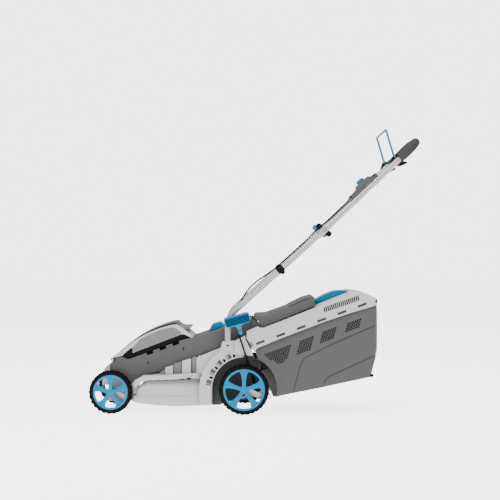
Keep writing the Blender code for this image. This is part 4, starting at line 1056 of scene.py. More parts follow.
# A black sheet just inside the shell shows dark through each wedge cut.
backings = [slab(f"lid_black_backing_{n}", LID_BACKING, s * 0.1222, s * 0.1246, BLACK, 0, 0) for n, s in SIDES]
tab = slab("pull_tab", [(-0.2700, 0.3070), (-0.2620, 0.3030), (-0.2310, 0.3030), (-0.2310, 0.2990),
                        (-0.2560, 0.2950)], -0.1050, 0.1050, PANEL, 0.001, 0.0010)
panels = [slab(f"lid_panel_{n}", PANEL_LINE, s * 0.1270, s * 0.1290, PANEL, 0.006, 0.0007) for n, s in SIDES]
grip_lines = row("pull_ridges", 4, (-0.2560, 0, 0.3032), (0.0060, 0, 0), (0.0020, 0.0900, 0.0012), PANEL)
hang(group_up("battery_lid_look", [lid, tab, grip_lines] + hinge + panels + backings), "battery_lid",
     "light_grey", "battery_lid")
print("lid panels:", len(panels))

# %% Smoked window and edge trim
WINDOW = [(p.x, p.y) for p in flowing([(x, z, 0) for x, z in LID_TOP[1:]], 5)]
thick = [0.0014 + 0.0038 * (i / (len(WINDOW) - 1)) ** 0.8 for i in range(len(WINDOW))]
strip = [(x, z + t) for (x, z), t in zip(WINDOW, thick)] + [(-0.2700, 0.3085), (-0.2720, 0.3065)]
strip += [(x + 0.0008, z - 0.0030) for x, z in reversed(WINDOW)]
window = slab("lid_window_look", strip, -0.0950, 0.0950, SMOKED, 0, 0)
hang(roll_edges(window, 0.0005, 1, 60), "battery_lid", "smoked", "lid_window")
edge_line = [(x, z + t * 0.8) for (x, z), t in zip(WINDOW, thick)]
edge_line += [(x + 0.0006, z - 0.0012) for x, z in reversed(WINDOW)]
trim = [slab(f"lid_trim_{n}", edge_line, s * 0.0960, s * 0.1284, SMOKED, 0, 0) for n, s in SIDES]
hang(group_up("lid_edge_trim", trim), "battery_lid", "smoked")
print("lid window points:", len(WINDOW))

# %% [markdown]
# ## Height lever
# The lever is a black rod bent round the arch, with a blue T-shaped grip. The grip's face carries a fine
# lattice of slanted ridges over its lower part and is smooth above. Rows of short bars that lean one way
# and then the other make the lattice, so it comes from the row tree. A thin dark blue plate under them is
# painted shade in the gaps.

# %% Lever rod and grip
ROD_Y = 0.2005
LEVER_ROUTE = [(0.0040, -0.1640, 0.0821), (-0.0270, -0.1640, 0.1820), (-0.0310, -ROD_Y, 0.1980),
               (-0.0580, -ROD_Y, 0.2790)]
hang(rod("height_lever_rod_look", bend(LEVER_ROUTE, 0.010, 6), 0.0033, BLACK, 20), "rear_crank", "black",
     "height_lever_rod")
GRIP_AT, GRIP_TILT = Vector((-0.0650, 0.3340)), radians(15)
grip_along, grip_over = Vector((cos(GRIP_TILT), sin(GRIP_TILT))), Vector((-sin(GRIP_TILT), cos(GRIP_TILT)))


def grip_point(a, b):
    return tuple(GRIP_AT + grip_along * a + grip_over * b)


GRIP = [
    (-0.0470, -0.0100), (-0.0400, -0.0190), (-0.0110, -0.0200), (-0.0055, -0.0330), (-0.0060, -0.0530),
    (0.0075, -0.0545), (0.0070, -0.0330), (0.0130, -0.0200), (0.0400, -0.0190), (0.0470, -0.0100),
    (0.0470, 0.0130), (0.0400, 0.0190), (-0.0400, 0.0190), (-0.0470, 0.0130),
]
grip = slab("grip_body", placed(grip_point, GRIP), -0.2132, -0.1945, BLUE, 0.009, 0.0030)
cut(grip, turned("neck_hole", [(0.0, 0.0), (0.0024, 0.0), (0.0024, 0.03), (0.0, 0.03)],
                 grip_point(0.0004, -0.0400), -0.22, 1, BLUE, 20))
lattice = []
for line in range(5):
    start = grip_point(-0.0390, -0.0145 + 0.0058 * line)
    for way in (1, -1):
        shift = grip_along * (0.0030 if way < 0 else 0.0)
        lattice.append(row(
            f"lattice_{line}_{way}", 13, (start[0] + shift.x, -0.2132, start[1] + shift.y),
            (grip_along.x * 0.0060, 0, grip_along.y * 0.0060),
            (0.0046, 0.0034, 0.0013), BLUE, (0, -GRIP_TILT - way * radians(28), 0)))
LATTICE_FIELD = ((-0.0420, -0.0165), (0.0420, -0.0165), (0.0420, 0.0110), (-0.0420, 0.0110))
# The dark blue plate under the ridges is painted shade in the lattice's gaps.
shade = slab("lattice_gap_shade", placed(grip_point, LATTICE_FIELD),
             -0.2136, -0.2120, BLUE_GAP_SHADE, 0.004, 0)
hang(group_up("height_lever_grip_look", [grip, shade] + lattice), "rear_crank", "blue", "height_lever_grip")
print("lattice rows:", len(lattice))

# %% [markdown]
# ## Folding handle
# Two bent tubes come up from the arches, and one long loop of the same tube is bolted to them, so that it
# can fold forward. A tube is a circle swept along its centre line, with the bends rounded as a bender
# leaves them. Pressed sleeves thicken the ends where the bolts pass. The foam grip swells gently in the
# middle of each side.

# %% Lower tubes, loop and sleeves
FOLD = (middle("handle_bolt_left").x, middle("handle_bolt_left").z)
HANDLE_TOP, SOCKET = (0.5010, 0.8950), (-0.0980, 0.2350)
TUBE_R, LOWER_Y, UPPER_Y = 0.0110, 0.1750, 0.1990
lengthways = (Vector(HANDLE_TOP) - Vector(FOLD)).normalized()
above = Vector((-lengthways.y, lengthways.x))
TUBE_SLOPE = 0.7575      # the upper tube's slope, in radians
low_slope = (Vector(FOLD) - Vector((-0.0730, 0.3650))).normalized()
low_above = Vector((-low_slope.y, low_slope.x))


def on_tube(along, over):
    """A side-view point measured up the upper tube from the fold, and above its axis."""
    return tuple(Vector(FOLD) + lengthways * along + above * over)


def beside_low(along, over):
    """A side-view point measured down the lower tube from the fold, and above its axis."""
    return tuple(Vector(FOLD) - low_slope * along + low_above * over)


def sleeve(name, spot, start, end, y, radius, material, sides=28):
    """A collar round a handle tube, from start to end along it."""
    a, b = spot(start, 0), spot(end, 0)
    middle_part = [(Vector((a[0], y, a[1]))).lerp(Vector((b[0], y, b[1])), t) for t in (0.0, 0.06, 0.94, 1.0)]
    return rod(name, middle_part, radius, material, sides,
               radii=[radius - 0.0008, radius, radius, radius - 0.0008])


PAST_FOLD = 0.0180      # how far each tube reaches beyond the fold bolt
low_end = beside_low(-PAST_FOLD, 0)
for name, sign in SIDES:
    y = sign * LOWER_Y
    route = [(SOCKET[0], y, SOCKET[1]), (SOCKET[0], y, 0.3420), (low_end[0], y, low_end[1])]
    tube = rod(f"lower_tube_{name}", bend(route, 0.036, 10), TUBE_R, TUBE, 28)
    collar = sleeve(f"lower_sleeve_{name}", beside_low, 0.0300, -0.0150, y, TUBE_R + 0.0012, TUBE)
    hang(group_up(f"lower_handle_{name}_look", [tube, collar]), "deck", "painted", f"lower_handle_{name}")
straight = [on_tube(a, 0) for a in (-PAST_FOLD, 0.06, 0.14, 0.22, 0.29, 0.33, 0.3565)]
HALF = [(x, UPPER_Y, z) for x, z in straight] + [
    (0.5290, 0.1975, 0.9200), (0.5500, 0.1800, 0.9410), (0.5640, 0.1500, 0.9560), (0.5720, 0.1050, 0.9640),
    (0.5735, 0.0500, 0.9660)]
loop = flowing([(x, -y, z) for x, y, z in HALF] + list(reversed(HALF)), 6)
upper_tube = rod("upper_tube", loop, TUBE_R, TUBE, 28)
collars = [sleeve(f"upper_sleeve_{n}", on_tube, -0.0160, 0.0330, s * UPPER_Y, TUBE_R + 0.0013, TUBE)
           for n, s in SIDES]
hang(group_up("upper_handle_look", [upper_tube] + collars), "upper_handle", "painted", "upper_handle")
print("handle loop points:", len(loop))

# %% Foam grip
grip_start = on_tube(0.3660, 0)
GRIP_HALF = [(grip_start[0], UPPER_Y, grip_start[1])] + HALF[len(straight):]
foam_line = flowing([(x, -y, z) for x, y, z in GRIP_HALF] + list(reversed(GRIP_HALF)), 7)
FOAM_R, FOAM_SWELL = 0.0146, 0.0012
swell = [FOAM_R + FOAM_SWELL * abs(sin(pi * 2 * i / (len(foam_line) - 1))) ** 0.6
         for i in range(len(foam_line))]
foam = rod("foam_grip_look", foam_line, 0.0150, FOAM, 36, radii=swell)
hang(foam, "upper_handle", "foam", "foam_grip")
print("foam length:", round(sum((b - a).length for a, b in zip(foam_line, foam_line[1:])), 3))

# %% [markdown]
# ## Bolts and wing knobs
# Each fold is held by a hexagon-headed bolt with a washer outside and a two-lobed wing knob inside. The
# head and the stem are turned with six and with many sides. The knob's lobes are one rounded outline,
# joined to a fluted barrel; the ring tree makes the flutes. The right knob is blue. The left knob, which
# faces the camera from behind its tube, is coloured black as painted shade of the same blue knob.

# %% Fold bolts and knobs
WINGS = [(-0.0300, 0.0100), (-0.0240, 0.0240), (-0.0130, 0.0240), (0.0000, 0.0120), (0.0300, -0.0100),
         (0.0240, -0.0240), (0.0130, -0.0240), (0.0000, -0.0120)]
for name, sign in SIDES:
    face = sign * 0.2142
    bolt_head = turned(f"head_{name}", [(0.0, 0.0), (0.0072, 0.0), (0.0080, 0.0008), (0.0080, 0.0026),
                                        (0.0, 0.0026)], FOLD, face, -sign, STEEL, 6)
    washer = turned(f"washer_{name}", [(0.0, 0.0), (0.0100, 0.0), (0.0100, 0.0011), (0.0, 0.0011)], FOLD,
                    sign * 0.2116, -sign, STEEL, 32)
    stem = turned(f"stem_{name}", [(0.0, 0.0), (0.0039, 0.0), (0.0039, 0.0650), (0.0, 0.0650)], FOLD,
                  sign * 0.2106, -sign, STEEL, 20)
    hang(group_up(f"handle_bolt_{name}_look", [bolt_head, washer, stem]), "upper_handle", "steel",
         f"handle_bolt_{name}")
    # The left knob is black as painted shade of the blue knob behind its tube; the right one is blue.
    colour, knob_slot = (BLACK, "black") if sign < 0 else (BLUE, "blue")
    lobes = slab(f"lobes_{name}", [(FOLD[0] + a, FOLD[1] + b) for a, b in WINGS], sign * 0.1490,
                 sign * 0.1580, colour, 0.006, 0.0030)
    barrel_line = [(0.0044, 0.0), (0.0092, 0.0), (0.0102, 0.0014), (0.0102, 0.0150), (0.0092, 0.0160),
                   (0.0044, 0.0160)]
    barrel = turned(f"barrel_{name}", barrel_line, FOLD, sign * 0.1470, sign, colour, 36)
    flutes = ring(f"flutes_{name}", 14, (FOLD[0], sign * 0.1605, FOLD[1]), 0.0100, 0, 360 / 14,
                  (0.0014, 0.0050, 0.0016), colour)
    cut(lobes, turned(f"lobe_bore_{name}", [(0.0, 0.0), (0.0044, 0.0), (0.0044, 0.05), (0.0, 0.05)], FOLD,
                      sign * 0.14, sign, colour, 24))
    hang(group_up(f"wing_knob_{name}_look", [lobes, barrel, flutes]), f"wing_knob_{name}", knob_slot,
         f"wing_knob_{name}")
print("fold bolts: 2, wing knobs: 2")

# %% [markdown]
# ## Switch box, start button and bail
# The switch box sits on top of the left tube, held by two saddles. Its lid steps up to the well of the blue
# start button. The bail is a bent wire that the operator pulls against the grip. Each of its ends turns in
# a black clevis, which a band holds on the tube and which has a hooked blade below it.

# %% Switch box with button
BOX = [(0.1320, 0.0116), (0.2680, 0.0116), (0.2680, 0.0230), (0.2440, 0.0258), (0.2390, 0.0330),
       (0.1860, 0.0345), (0.1780, 0.0262), (0.1380, 0.0235)]
case = slab("switch_case", placed(on_tube, BOX), -0.2120, -0.1560, MID, 0.005, 0.0035)
WELL = [(0.1935, 0.0262), (0.2245, 0.0262), (0.2245, 0.0420), (0.1935, 0.0420)]
cut(case, slab("button_well", placed(on_tube, WELL), -0.2003, -0.1677, MID, 0, 0))
SEAM = ((0.1340, 0.0176), (0.2670, 0.0176), (0.2670, 0.0184), (0.1340, 0.0184))
seam = slab("case_seam", placed(on_tube, SEAM), -0.2123, -0.1557, BLACK, 0, 0)
saddles = [sleeve(f"saddle_{i}", on_tube, a, a + 0.016, -UPPER_Y, TUBE_R + 0.0012, TUBE)
           for i, a in enumerate((0.1420, 0.2420))]
screws = [turned(f"case_screw_{i}", [(0.0, 0.0), (0.0026, 0.0), (0.0026, 0.0020), (0.0, 0.0020)],
                 on_tube(a, 0.0210), -0.2124, 1, BLACK, 16)
          for i, a in enumerate((0.1460, 0.2560))]
# The vents are black blocks, painted shade of their openings.
vent_at, vent_step = on_tube(0.1500, 0.0232), lengthways * 0.0052
vents = row("case_vents", 5, (vent_at[0], -0.1840, vent_at[1]), (vent_step.x, 0, vent_step.y),
            (0.0020, 0.0300, 0.0034), BLACK, (0, -TUBE_SLOPE, 0))
hang(group_up("switch_box_look", [case, seam, vents] + saddles + screws), "upper_handle", "mid_grey",
     "switch_box")
BUTTON = [(0.1945, 0.0305), (0.2235, 0.0305), (0.2235, 0.0410), (0.2185, 0.0450), (0.1995, 0.0450),
          (0.1945, 0.0410)]
hang(slab("start_button_look", placed(on_tube, BUTTON), -0.1993, -0.1687, BLUE, 0.003, 0.0018),
     "start_button", "blue", "start_button")
print("case screws:", len(screws))

# %% Clevises and bail
PIVOT = on_tube(0.3560, 0.0190)
CLEVIS_WEDGE = ((0.3280, 0.0108), (0.3680, 0.0108), (0.3640, 0.0220), (0.3540, 0.0245))
CLEVIS_BLADE = ((0.3360, -0.0105), (0.3640, -0.0105), (0.3760, -0.0270), (0.3700, -0.0300), (0.3480, -0.0220))
for name, sign in SIDES:
    wedge = slab(f"wedge_{name}", placed(on_tube, CLEVIS_WEDGE),
                 sign * 0.1920, sign * 0.2060, BLACK, 0.003, 0.0012)
    blade = slab(f"blade_{name}", placed(on_tube, CLEVIS_BLADE),
                 sign * 0.1950, sign * 0.2030, BLACK, 0.004, 0.0015)
    band = sleeve(f"band_{name}", on_tube, 0.3380, 0.3600, sign * UPPER_Y, TUBE_R + 0.0012, TUBE)
    hang(group_up(f"bail_clevis_{name}_look", [wedge, blade, band]), "upper_handle", "black",
         f"bail_clevis_{name}")
BAIL_TOP = (PIVOT[0] - 0.0280, PIVOT[1] + 0.0942)
BAIL_END, BAIL_SIDE, BAIL_R = 0.2070, 0.1840, 0.0042
half = bend([(PIVOT[0], BAIL_END, PIVOT[1]), (PIVOT[0], BAIL_SIDE, PIVOT[1]),
             (BAIL_TOP[0], BAIL_SIDE, BAIL_TOP[1]),
             (BAIL_TOP[0], 0.0, BAIL_TOP[1])], 0.011, 7)[:-1]
bail = rod("bail_look", half + [Vector((p.x, -p.y, p.z)) for p in reversed(half)], BAIL_R, BLUE, 16)
hang(bail, "bail", "blue", "bail")
print("bail wire points:", len(half) * 2)

# %% [markdown]
# ## Control cable
# One black cable leaves the switch box, runs down the top of the tube, crosses the fold, passes the clip
# and then bows freely into the cover. It is held at both ends, so its length is its route's. It is one swept
# tube along that route.

# %% Cable route and clip
UPPER_RUN = ((0.1330, 0.0150), (0.1050, 0.0147), (0.0700, 0.0148), (0.0350, 0.0152))
upper_run = placed(on_tube, UPPER_RUN)
LOWER_RUN = ((0.0200, 0.0185), (0.0700, 0.0150), (0.1300, 0.0146), (0.2080, 0.0150), (0.2480, 0.0185),
             (0.3000, 0.0250), (0.3450, 0.0225))
lower_run = placed(beside_low, LOWER_RUN)
route = [(x, -UPPER_Y, z) for x, z in upper_run]
route += [(x, -LOWER_Y - (0.012 if i == 0 else 0.0), z) for i, (x, z) in enumerate(lower_run)]
route += [(-0.0600, -0.1620, 0.3850), (-0.0800, -0.1380, 0.3560), (-0.0860, -0.1180, 0.3200),
          (-0.0860, -0.1170, 0.3120)]
cable_line = flowing(route, 8)
CABLE_R = 0.0029
cable = rod("control_cable", cable_line, CABLE_R, CABLE, 14)
cable.data.shade_smooth()
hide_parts("control_cable_upper", "control_cable_lower")
start, end = beside_low(0.0300, 0.0150), on_tube(0.0450, 0.0150)
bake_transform(cable)
print("cable length:", round(sum((b - a).length for a, b in zip(cable_line, cable_line[1:])), 3))
jacket = sleeve("clip_band", beside_low, 0.2190, 0.1970, -LOWER_Y, TUBE_R + 0.0024, BLACK)
CLIP_GUIDE = ((0.1980, 0.0110), (0.2180, 0.0110), (0.2160, 0.0200), (0.2000, 0.0200))
CLIP_EAR = ((0.2000, -0.0130), (0.2160, -0.0130), (0.2140, -0.0200), (0.2020, -0.0200))
guide = slab("clip_guide", placed(beside_low, CLIP_GUIDE), -0.1805, -0.1695, BLACK, 0.002, 0.0010)
ear = slab("clip_ear", placed(beside_low, CLIP_EAR), -0.1780, -0.1720, BLACK, 0.002, 0.0010)
hang(group_up("cable_clip_look", [jacket, guide, ear]), "deck", "black", "cable_clip")
gland = rod("cable_gland", [(-0.0860, -0.1170, 0.3050), (-0.0860, -0.1170, 0.3130),
                            (-0.0858, -0.1172, 0.3200)], 0.0050, BLACK, 20, radii=[0.0062, 0.0056, 0.0042])
hang(gland, "deck", "black")

# %% [markdown]
# ## Rear flap
# The flap is a thin shell that closes the chute when the collector is off. A raised ramp at its rear end
# leads the hand to the collector's grip. It is a slab with its underside cut out, and its hinge barrel is
# turned.

# %% Flap
FLAP = [
    (-0.0070, 0.3380), (0.0010, 0.3450), (0.0370, 0.3470), (0.1300, 0.3800), (0.2030, 0.4110),
    (0.2100, 0.4095), (0.2100, 0.3800), (0.0860, 0.3300), (0.0300, 0.3070), (0.0240, 0.3030),
    (0.0080, 0.3290),
]
flap = slab("flap_shell", FLAP, -0.1580, 0.1580, MID, 0.003, 0.0025)
cut(flap, slab("flap_hollow", [(0.0300, 0.2900), (0.0200, 0.3330), (0.0370, 0.3450), (0.1440, 0.3838),
                               (0.2060, 0.4080), (0.2060, 0.3600)],
               -0.1550, 0.1550, MID, 0, 0))
ramp = slab("flap_ramp", [(0.1180, 0.3780), (0.1300, 0.3850), (0.1700, 0.4045), (0.2030, 0.4140),
                          (0.2095, 0.4110), (0.2080, 0.4060), (0.1440, 0.3850)],
            -0.1400, 0.1400, MID, 0.003, 0.0020)
rim = slab("flap_edge", [(0.0400, 0.3130), (0.1500, 0.3575), (0.2060, 0.3800), (0.2060, 0.3860),
                         (0.1500, 0.3640), (0.0400, 0.3195)],
           0.1570, 0.1588, MID, 0.001, 0.0006)
barrel = rod("flap_barrel", [(0.0010, -0.1540, 0.3380), (0.0010, 0.1540, 0.3380)], 0.0058, BLACK, 24)
ridges = row("flap_ridges", 7, (0.0450, 0, 0.3499), (0.0105, 0, 0.00372), (0.0030, 0.2400, 0.0012), MID,
             (0, radians(-20), 0))
hang(group_up("rear_flap_look", [flap, ramp, rim, mirrored(rim, "flap_edge_left"), barrel, ridges]),
     "rear_flap", "mid_grey", "rear_flap")
print("flap ribs: 7")

# %% [markdown]
# ## Grass collector
# The collector's tub is a thin grey shell. Its sides step out along two creases that stiffen them, and four
# groups of slots let the air out. Each group leans with the lid, so a row of slots steps along the lid's
# slope and the next row starts lower and further back. The slots are cut through as one tool for each side,
# and a black sheet behind every group is painted shade of the tub's inside. A dark strip under each crease
# is its painted shadow line.

# %% Tub shell and creases
SHELL_Y = 0.1782
TUB = [
    (-0.0040, 0.2260), (0.0860, 0.2640), (0.2430, 0.3240), (0.3380, 0.3560), (0.4285, 0.3830),
    (0.4300, 0.3000), (0.4290, 0.2300), (0.4230, 0.1950), (0.4120, 0.1560), (0.4070, 0.1365),
    (0.4140, 0.1330), (0.2440, 0.0960), (0.0860, 0.0640), (0.0620, 0.0570), (0.0260, 0.1530),
]
TUB_HOLLOW = [
    (-0.0500, 0.2100), (-0.0500, 0.2600), (0.0860, 0.3000), (0.4255, 0.4100), (0.4250, 0.2300),
    (0.4190, 0.1950), (0.4040, 0.1420), (0.2440, 0.1000), (0.0860, 0.0680), (0.0300, 0.0560),
    (-0.0200, 0.1500),
]


def well(name, radius, inner, sign):
    """The round clearance for a rear wheel."""
    return turned(name, [(0.0, 0.0), (radius, 0.0), (radius, 0.08), (0.0, 0.08)], REAR_C, sign * inner,
                  sign, MID, 96)


tub = slab("tub_shell", TUB, -SHELL_Y, SHELL_Y, MID, 0.004, 0.0035)
hollow = slab("tub_hollow", TUB_HOLLOW, -SHELL_Y + 0.0030, SHELL_Y - 0.0030, MID, 0, 0)
cut(hollow, *[well(f"well_wall_{n}", 0.1195, 0.1448, s) for n, s in SIDES])
cut(tub, hollow, *[well(f"well_{n}", 0.1160, 0.1480, s) for n, s in SIDES])
CREASE_A = [(0.1340, 0.0745), (0.1560, 0.1600), (0.1700, 0.1940), (0.2600, 0.2400), (0.4270, 0.3130),
            (0.4270, 0.2300), (0.4210, 0.1950), (0.4060, 0.1400),
            (0.4080, 0.1345), (0.2440, 0.0985)]
CREASE_B = [(0.2420, 0.1000), (0.2460, 0.1160), (0.2560, 0.1290), (0.4010, 0.1960), (0.4240, 0.2060),
            (0.4210, 0.1950), (0.4060, 0.1400), (0.4080, 0.1345)]
for name, sign in SIDES:
    join(tub, slab(f"crease_a_{name}", CREASE_A, sign * (SHELL_Y - 0.0012), sign * (SHELL_Y + 0.0014), MID,
                   0.010, 0.0011),
         slab(f"crease_b_{name}", CREASE_B, sign * (SHELL_Y - 0.0010), sign * (SHELL_Y + 0.0028), MID,
              0.008, 0.0011))
print("tub faces:", len(tub.data.polygons))

# %% Air slots
SLOT_PITCH, SLOPE, SLOT_LEAN = 0.0091, radians(20.5), 0.25
# The second pair is the y range of the black sheets that are painted shade behind the slot groups.
SLOT_SIZE, SLOT_SHADE_Y = (0.0066, 0.0160, 0.0058), (0.1738, 0.1750)
along_lid = Vector((cos(SLOPE), sin(SLOPE))) * SLOT_PITCH
down = Vector((-0.0024, -0.0086))
GROUPS = (      # first slot, then (slots skipped, slots) for each row below
    ((0.0360, 0.2090), ((0, 11), (1, 10), (2, 9), (3, 8), (5, 6), (6, 5), (7, 3))),
    ((0.1600, 0.2560), ((0, 6),) * 6),
    ((0.2400, 0.2880), ((0, 6),) * 5),
    ((0.3270, 0.3180), ((0, 6),) * 4),
)
total = 0
tools = []
for number, (first, rows) in enumerate(GROUPS):
    for line, (skip, count) in enumerate(rows):
        at = Vector(first) + down * line + along_lid * skip
        tools.append(row(f"slots_{number}_{line}", count, (at.x, -SHELL_Y, at.y),
                         (along_lid.x, 0, along_lid.y), SLOT_SIZE, MID, (0, -SLOPE - SLOT_LEAN, 0)))
        total += count
near_tool = group_up("slot_tool_near", tools)
far_tool = mirrored(near_tool, "slot_tool_far")
cut(tub, near_tool, far_tool)
print("air slots on each side:", total)

# %% Mouth flange, painted rear edge highlight, feet and painted crease shadows
FLANGE = [(-0.0130, 0.2380), (-0.0030, 0.2300), (0.0000, 0.2250), (-0.0040, 0.2220), (-0.0170, 0.2360)]
STRIP = [(0.0045, 0.1960), (0.0200, 0.1530), (0.0580, 0.0500), (0.0540, 0.0490), (0.0160, 0.1520),
         (0.0010, 0.1945)]
parts = [tub]
# Dark strips just under each crease are its painted shadow line.
for n, s in SIDES:
    for label, line, height in (("a", CREASE_A, 0.0003), ("b", CREASE_B, 0.0017)):
        shifted = [(x - 0.0026, z + 0.0034) for x, z in line]
        parts.append(slab(f"crease_shadow_strip_{label}_{n}", shifted, s * (SHELL_Y - 0.0010),
                          s * (SHELL_Y + height), SHADE_GREY, 0.009, 0))
# A black sheet behind each slot group is painted shade of the tub's inside.
for number, (first, rows) in enumerate(GROUPS):
    top_left = Vector(first) - along_lid * 0.7 - down * 0.7
    reach, depth = along_lid * (rows[0][1] + 0.4), down * (len(rows) + 0.4)
    corners = [tuple(p) for p in (top_left, top_left + reach, top_left + reach + depth, top_left + depth)]
    for n, s in SIDES:
        parts.append(slab(f"slot_shade_sheet_{number}_{n}", corners, s * SLOT_SHADE_Y[0], s * SLOT_SHADE_Y[1], BLACK, 0, 0))
for name, sign in SIDES:
    parts += [
        slab(f"mouth_edge_{name}", FLANGE, sign * 0.1760, sign * 0.1838, LIGHT, 0.001, 0.0008),
        slab(f"mouth_strip_{name}", STRIP, sign * 0.1455, sign * 0.1478, LIGHT, 0.001, 0.0006),
        # The lighter strip along the tub's rear edge is a painted highlight of its rounded corner, and stands
        # a little proud.
        slab(f"rear_rib_{name}", [(0.4240, 0.3780), (0.4285, 0.3790), (0.4290, 0.2300), (0.4225, 0.1950),
                                  (0.4085, 0.1420), (0.4050, 0.1430), (0.4180, 0.1960), (0.4245, 0.2300)],
             sign * 0.1778, sign * 0.1806, PANEL, 0.002, 0.0010),
        slab(f"foot_{name}", [(0.4000, 0.1325), (0.4060, 0.1410), (0.4165, 0.1400), (0.4180, 0.1330),
                              (0.4080, 0.1300)], sign * 0.1500, sign * 0.1812, BLACK, 0.002, 0.0015),
    ]
parts.append(row("floor_ribs", 6, (0.1300, 0, 0.0715), (0.0440, 0, 0.0094), (0.0050, 0.2800, 0.0028), MID,
                 (0, radians(-12.4), 0)))
parts.append(row("back_ribs", 5, (0.4310, -0.1200, 0.3000), (0, 0.0600, 0), (0.0030, 0.0060, 0.1300), MID))
hang(group_up("collector_tub_look", parts), "collector", "mid_grey", "collector_tub")
print("shapes in the tub:", len(parts))

# %% Collector lid with its slots and louvre
LID_SIDE = 0.1850
COLLECTOR_LID = [
    (-0.0050, 0.2275), (-0.0320, 0.2670), (-0.0320, 0.2790), (0.0100, 0.2960), (0.0130, 0.3050),
    (0.0250, 0.3030), (0.0860, 0.3260), (0.2120, 0.3760), (0.2240, 0.3850), (0.3290, 0.4260),
    (0.3400, 0.4340), (0.3900, 0.4260), (0.4270, 0.4100), (0.4320, 0.3920), (0.4290, 0.3845),
    (0.3380, 0.3577), (0.2430, 0.3258), (0.0860, 0.2658),
]
top = slab("collector_lid_shell", COLLECTOR_LID, -LID_SIDE, LID_SIDE, LIGHT, 0.004, 0.0030)
cut(
    top,
    slab("lid_room", [(-0.0100, 0.1800), (-0.0290, 0.2600), (-0.0290, 0.2765), (0.0860, 0.3225),
                      (0.2120, 0.3725), (0.3290, 0.4220), (0.3400, 0.4300),
                      (0.3890, 0.4220), (0.4250, 0.4065), (0.4290, 0.3920), (0.4250, 0.2800)],
                      -LID_SIDE + 0.003, LID_SIDE - 0.003, LIGHT, 0, 0),
    block("mouth_room", (-0.06, -0.1600, 0.15), (0.0120, 0.1600, 0.35), LIGHT, 0),
    block("finger_room", (0.2450, -0.0450, 0.3600), (0.3150, 0.0450, 0.4400), LIGHT, 0),
)
SIDE_SLOTS, SLOT_LINE, SLOT_STEP = 6, (0.0170, 0.2535), (0.0718, 0.0263)
LOUVRE_FIRST, LOUVRE_LAST, LOUVRES = Vector((0.2430, 0.3685)), Vector((0.3620, 0.4095)), 19
bar_step = (LOUVRE_LAST - LOUVRE_FIRST) / (LOUVRES - 1)
extras = []
for name, sign in SIDES:
    wall = sign * (LID_SIDE - 0.0012)
    cut(
        top,
        row(f"side_slots_{name}", SIDE_SLOTS, (SLOT_LINE[0], wall, SLOT_LINE[1]),
            (SLOT_STEP[0], 0, SLOT_STEP[1]), (0.0330, 0.0100, 0.0088), LIGHT, (0, -SLOPE, 0)),
        row(f"louvre_{name}", LOUVRES, (LOUVRE_FIRST.x, wall, LOUVRE_FIRST.y), (bar_step.x, 0, bar_step.y),
            (0.0050, 0.0100, 0.0190), LIGHT, (0, radians(-12), 0)),
    )
    # The dark slot floors and the black louvre plate are painted shade inside the openings.
    extras += [
        row(f"slot_shade_floors_{name}", SIDE_SLOTS, (SLOT_LINE[0], sign * 0.1828, SLOT_LINE[1]),
            (SLOT_STEP[0], 0, SLOT_STEP[1]), (0.0326, 0.0014, 0.0092), SHADE_GREY, (0, -SLOPE, 0)),
        slab(f"louvre_shade_plate_{name}", [(0.2340, 0.3580), (0.2340, 0.3760), (0.3640, 0.4200),
                                      (0.3740, 0.4020), (0.3700, 0.3960)], sign * 0.1800, sign * 0.1822,
             BLACK, 0, 0),
        slab(f"lid_hook_{name}", [(0.4200, 0.3960), (0.4260, 0.4060), (0.4300, 0.3950)], sign * 0.1840,
             sign * 0.1856, BLACK, 0.001, 0.0003),
        slab(f"lid_rim_{name}", [(0.0860, 0.2662), (0.2430, 0.3262), (0.3380, 0.3582), (0.4270, 0.3846),
                                 (0.4270, 0.3880), (0.3380, 0.3622), (0.2430, 0.3302), (0.0860, 0.2702),
                                 (0.0040, 0.2362), (0.0000, 0.2310)],
             sign * 0.1842, sign * 0.1862, LIGHT, 0, 0.0006),
        slab(f"front_block_{name}", [(-0.0315, 0.2680), (-0.0315, 0.2930), (0.0080, 0.3095),
                                     (0.0180, 0.3040), (0.0200, 0.2850)], sign * 0.1660, sign * 0.1864,
             LIGHT, 0.002, 0.0014),
        slab(f"front_tab_{name}", [(-0.0250, 0.2520), (-0.0130, 0.2560), (-0.0060, 0.2420),
                                   (-0.0110, 0.2380)], sign * 0.1842, sign * 0.1858, PANEL, 0.002, 0.0006),
    ]
extras.append(row("lid_ridges", 5, (0.0500, 0, 0.3140), (0.0330, 0, 0.0130), (0.0040, 0.2900, 0.0016),
                  LIGHT, (0, radians(-21.6), 0)))
hang(group_up("collector_lid_look", [top] + extras), "collector", "light_grey", "collector_lid")
print("louvre slots on each side:", LOUVRES)

# %% Collector handle
HANDLE = [(0.2150, 0.3860), (0.2180, 0.4000), (0.2500, 0.4170), (0.2820, 0.4300), (0.3050, 0.4325),
          (0.3280, 0.4325), (0.3360, 0.4290), (0.3280, 0.4260), (0.2600, 0.4010)]
handle = slab("collector_handle_look", HANDLE, -0.0600, 0.0600, BLUE, 0.006, 0.0035)
cut(handle, slab("finger_gap", [(0.2430, 0.3700), (0.2430, 0.4080), (0.2700, 0.4160), (0.3180, 0.4230),
                                (0.3180, 0.3700)], -0.0500, 0.0500, BLUE, 0, 0))
hang(handle, "collector", "blue", "collector_handle")
print("collector handle faces:", len(handle.data.polygons))

# %% [markdown]
# ## Running gear and motor
# The motor, blade, axles, linkage, tray and pins keep their solid shapes. They get steel, cast and moulded
# finishes through their material slots. Cooling fins on the motor and blades on the fan are rings about the
# vertical shaft, so each is grown around the Y axis by the ring tree and then stood up.

